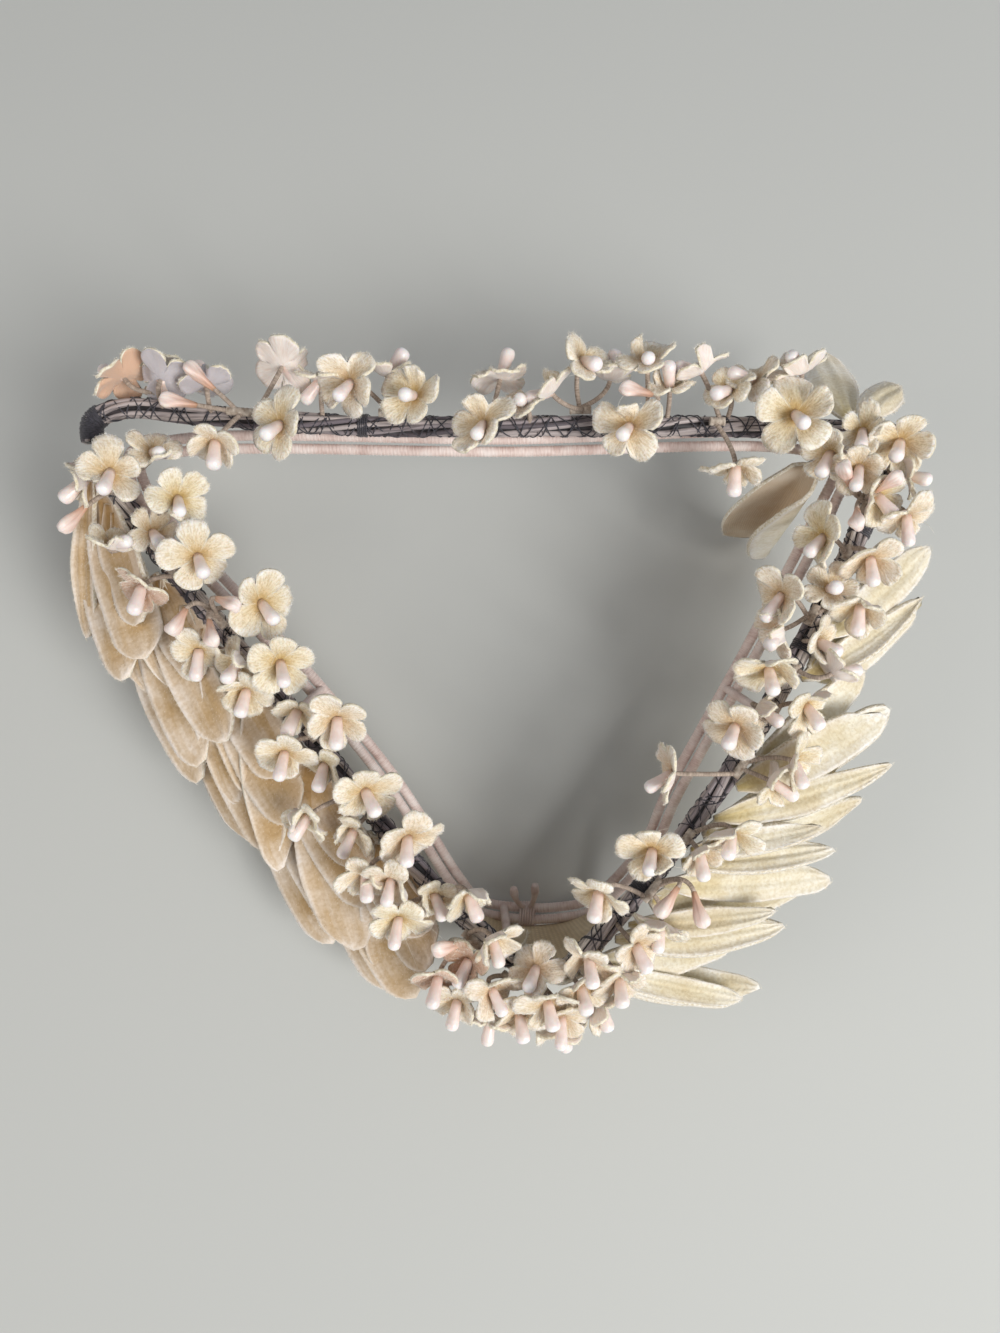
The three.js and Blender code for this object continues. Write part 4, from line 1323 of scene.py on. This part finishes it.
# %% [markdown]
# ## Twigs and ties
# Every blossom and bud has a thin paper-wrapped twig, and the twigs of one sprig are tied together against
# the bound stems. A straight rod would look stiff, so each twig leaves its blossom squarely and then bows
# to the tie. The tie is a short winding of pale cotton, made like the silk on the wires.

# %% Twig finishes
twig_paper = new_finish("twig_paper", {"Roughness": 0.85, "Sheen Weight": 0.1})
two_tone(twig_paper, streaks(twig_paper, 2, 30, 2), [(0.3, "8a7b6e"), (0.7, "c8b7a8")], 0.08)
cotton = new_finish("tie_cotton", {"Roughness": 0.9, "Sheen Weight": 0.3})
two_tone(cotton, grain(cotton, 900, 3), [(0.3, "8d7c6c"), (0.7, "d8cdbf")], 0.1)

# %% Twigs and ties
TWIG_RADIUS = 0.5
TWIG_IN = 0.6
TWIG_STRAIGHT = 3.5
KNOT_RADIUS = 0.9
KNOT_PAST = 0.9
KNOT_SPACING = 1.3
SEAT_GAP = 0.35
stem_places = np.vstack(list(stem_lines.values()))
stem_ways = np.vstack([unit(np.gradient(line, axis=0)) for line in stem_lines.values()])


def add_twig(bm, row, end):
    """A twig from a blossom or bud, straight behind it at first, then bowed to its end at the stems."""
    start = rim_place(row)
    line = bow(start + facing(row) * TWIG_IN, start - facing(row) * TWIG_STRAIGHT, end, count=12)
    tube(bm, from_rim(line), TWIG_RADIUS, sides=7)


for arm in ARMS:
    twig_bm = new_bmesh()
    for sprig in [name for name in sprig_names if name.startswith(arm)]:
        rows = [row for row in BLOSSOMS + BUDS if row["sprig"] == sprig]
        middle = np.array([rim_place(row) for row in rows]).mean(axis=0)
        seat = nearest(stem_places, middle)
        way = stem_ways[seat]
        off = middle - stem_places[seat]
        off = unit(off - way * off.dot(way))
        root = stem_places[seat] + off * (STEM_RADIUS + SEAT_GAP + KNOT_RADIUS)
        reach = KNOT_SPACING * (len(rows) - 1) / 2
        ends = np.array([root - way * (reach + KNOT_PAST), root + way * (reach + KNOT_PAST)])
        knot = spaced(ends, count=30)
        tube(twig_bm, from_rim(knot), wound(KNOT_RADIUS, knot), sides=10, material=1)
        for number, row in enumerate(rows):
            add_twig(twig_bm, row, root + way * (KNOT_SPACING * number - reach))
    for row in on_arm(TUCKED, arm):
        add_twig(twig_bm, row, stem_places[nearest(stem_places, rim_place(row))])
    finish_piece("twigs_" + arm, twig_bm, [twig_paper, cotton])
print("Sprigs tied:", len(sprig_names))

# %% [markdown]
# ## Pile
# Velvet catches the light on thousands of short hairs, most of all along a cut rim. One three-sided cone
# from a bmesh operator is the hair, and a copy is laid on every root that the leaves and petals left. Hair
# curves would be softer, but a mesh goes into the exported model just as it is.

# %% Pile
HAIR_WIDTH = 0.03
HAIR_SLANT = np.array([0.37, 0.61, 0.7])
hair_bm = bmesh.new()
bmesh.ops.create_cone(hair_bm, cap_ends=True, segments=3, radius1=1, radius2=0, depth=1)
bmesh.ops.remove_doubles(hair_bm, verts=hair_bm.verts, dist=1e-4)
bmesh.ops.triangulate(hair_bm, faces=hair_bm.faces)
hair_bm.verts.ensure_lookup_table()
hair_verts = np.array([vert.co for vert in hair_bm.verts]) + [0, 0, 0.5]
hair_faces = np.array([[vert.index for vert in face.verts] for face in hair_bm.faces])
hair_bm.free()


def lay_hairs(name, rows, finish):
    """One mesh with a hair on every root, each along its own way."""
    root, way = rows[:, None, :3], rows[:, None, 3:]
    side = unit(np.cross(way, HAIR_SLANT))
    off = unit(np.cross(way, side))
    x, y, z = [hair_verts[None, :, k:k + 1] for k in range(3)]
    verts = root + x * side * HAIR_WIDTH - y * off * HAIR_WIDTH + z * way
    faces = hair_faces[None] + (np.arange(len(rows)) * len(hair_verts))[:, None, None]
    mesh = bpy.data.meshes.new(name)
    mesh.from_pydata((verts.reshape(-1, 3) * MM).tolist(), [], faces.reshape(-1, 3).tolist())
    mesh.materials.append(finish)
    add_piece(name, mesh)
    print(name, "hairs:", len(rows))


leaf_hair = cut_edge("leaf_hair", "ece0c4", "fffaf0")
petal_hair = cut_edge("petal_hair", "f1e8d0", "fffdf8")
petal_roots = np.vstack(hairs["petal"])
lay_hairs("leaf_pile", np.vstack(hairs["leaf"]), leaf_hair)
lay_hairs("petal_pile", petal_roots, petal_hair)

# %% [markdown]
# A few long fibres curl off the petals, as they do on old velvet. A straight hair would not show that, so
# each is a thin tube along a short bow that starts at one of the roots.

# %% Stray fibres
FIBRE_SEED = 900
FIBRE_COUNT = 36
FIBRE_RADIUS = 0.035
FIBRE_BEND = 0.6
FIBRE_STRAY = 0.7
fibre_rng = np.random.default_rng(FIBRE_SEED)
fibre_bm = new_bmesh()
for row in petal_roots[fibre_rng.integers(0, len(petal_roots), FIBRE_COUNT)]:
    way = unit(row[3:] + RIM_UP * row[3:].dot(row[3:]))
    reach = fibre_rng.uniform(2, 6)
    bend = row[:3] + way * reach * FIBRE_BEND
    end = bend + unit(way + fibre_rng.normal(0, FIBRE_STRAY, 3)) * reach * FIBRE_BEND
    tube(fibre_bm, bow(row[:3], bend, end, count=9), FIBRE_RADIUS, sides=3)
finish_piece("stray_fibres", fibre_bm, [petal_hair])
print("Stray fibres:", FIBRE_COUNT)

# %% [markdown]
# ## Size and finish
# The boxes of the CAD model and of the dressed headpiece are printed side by side. The dressed headpiece
# must stay the size of the CAD model.

# %% Size and finish
bpy.context.view_layer.update()
boxes = {"cad": cad_box, "visual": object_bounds()}
boxes = {name: [[float(value) for value in corner] for corner in box] for name, box in boxes.items()}
print("Boxes:", boxes)
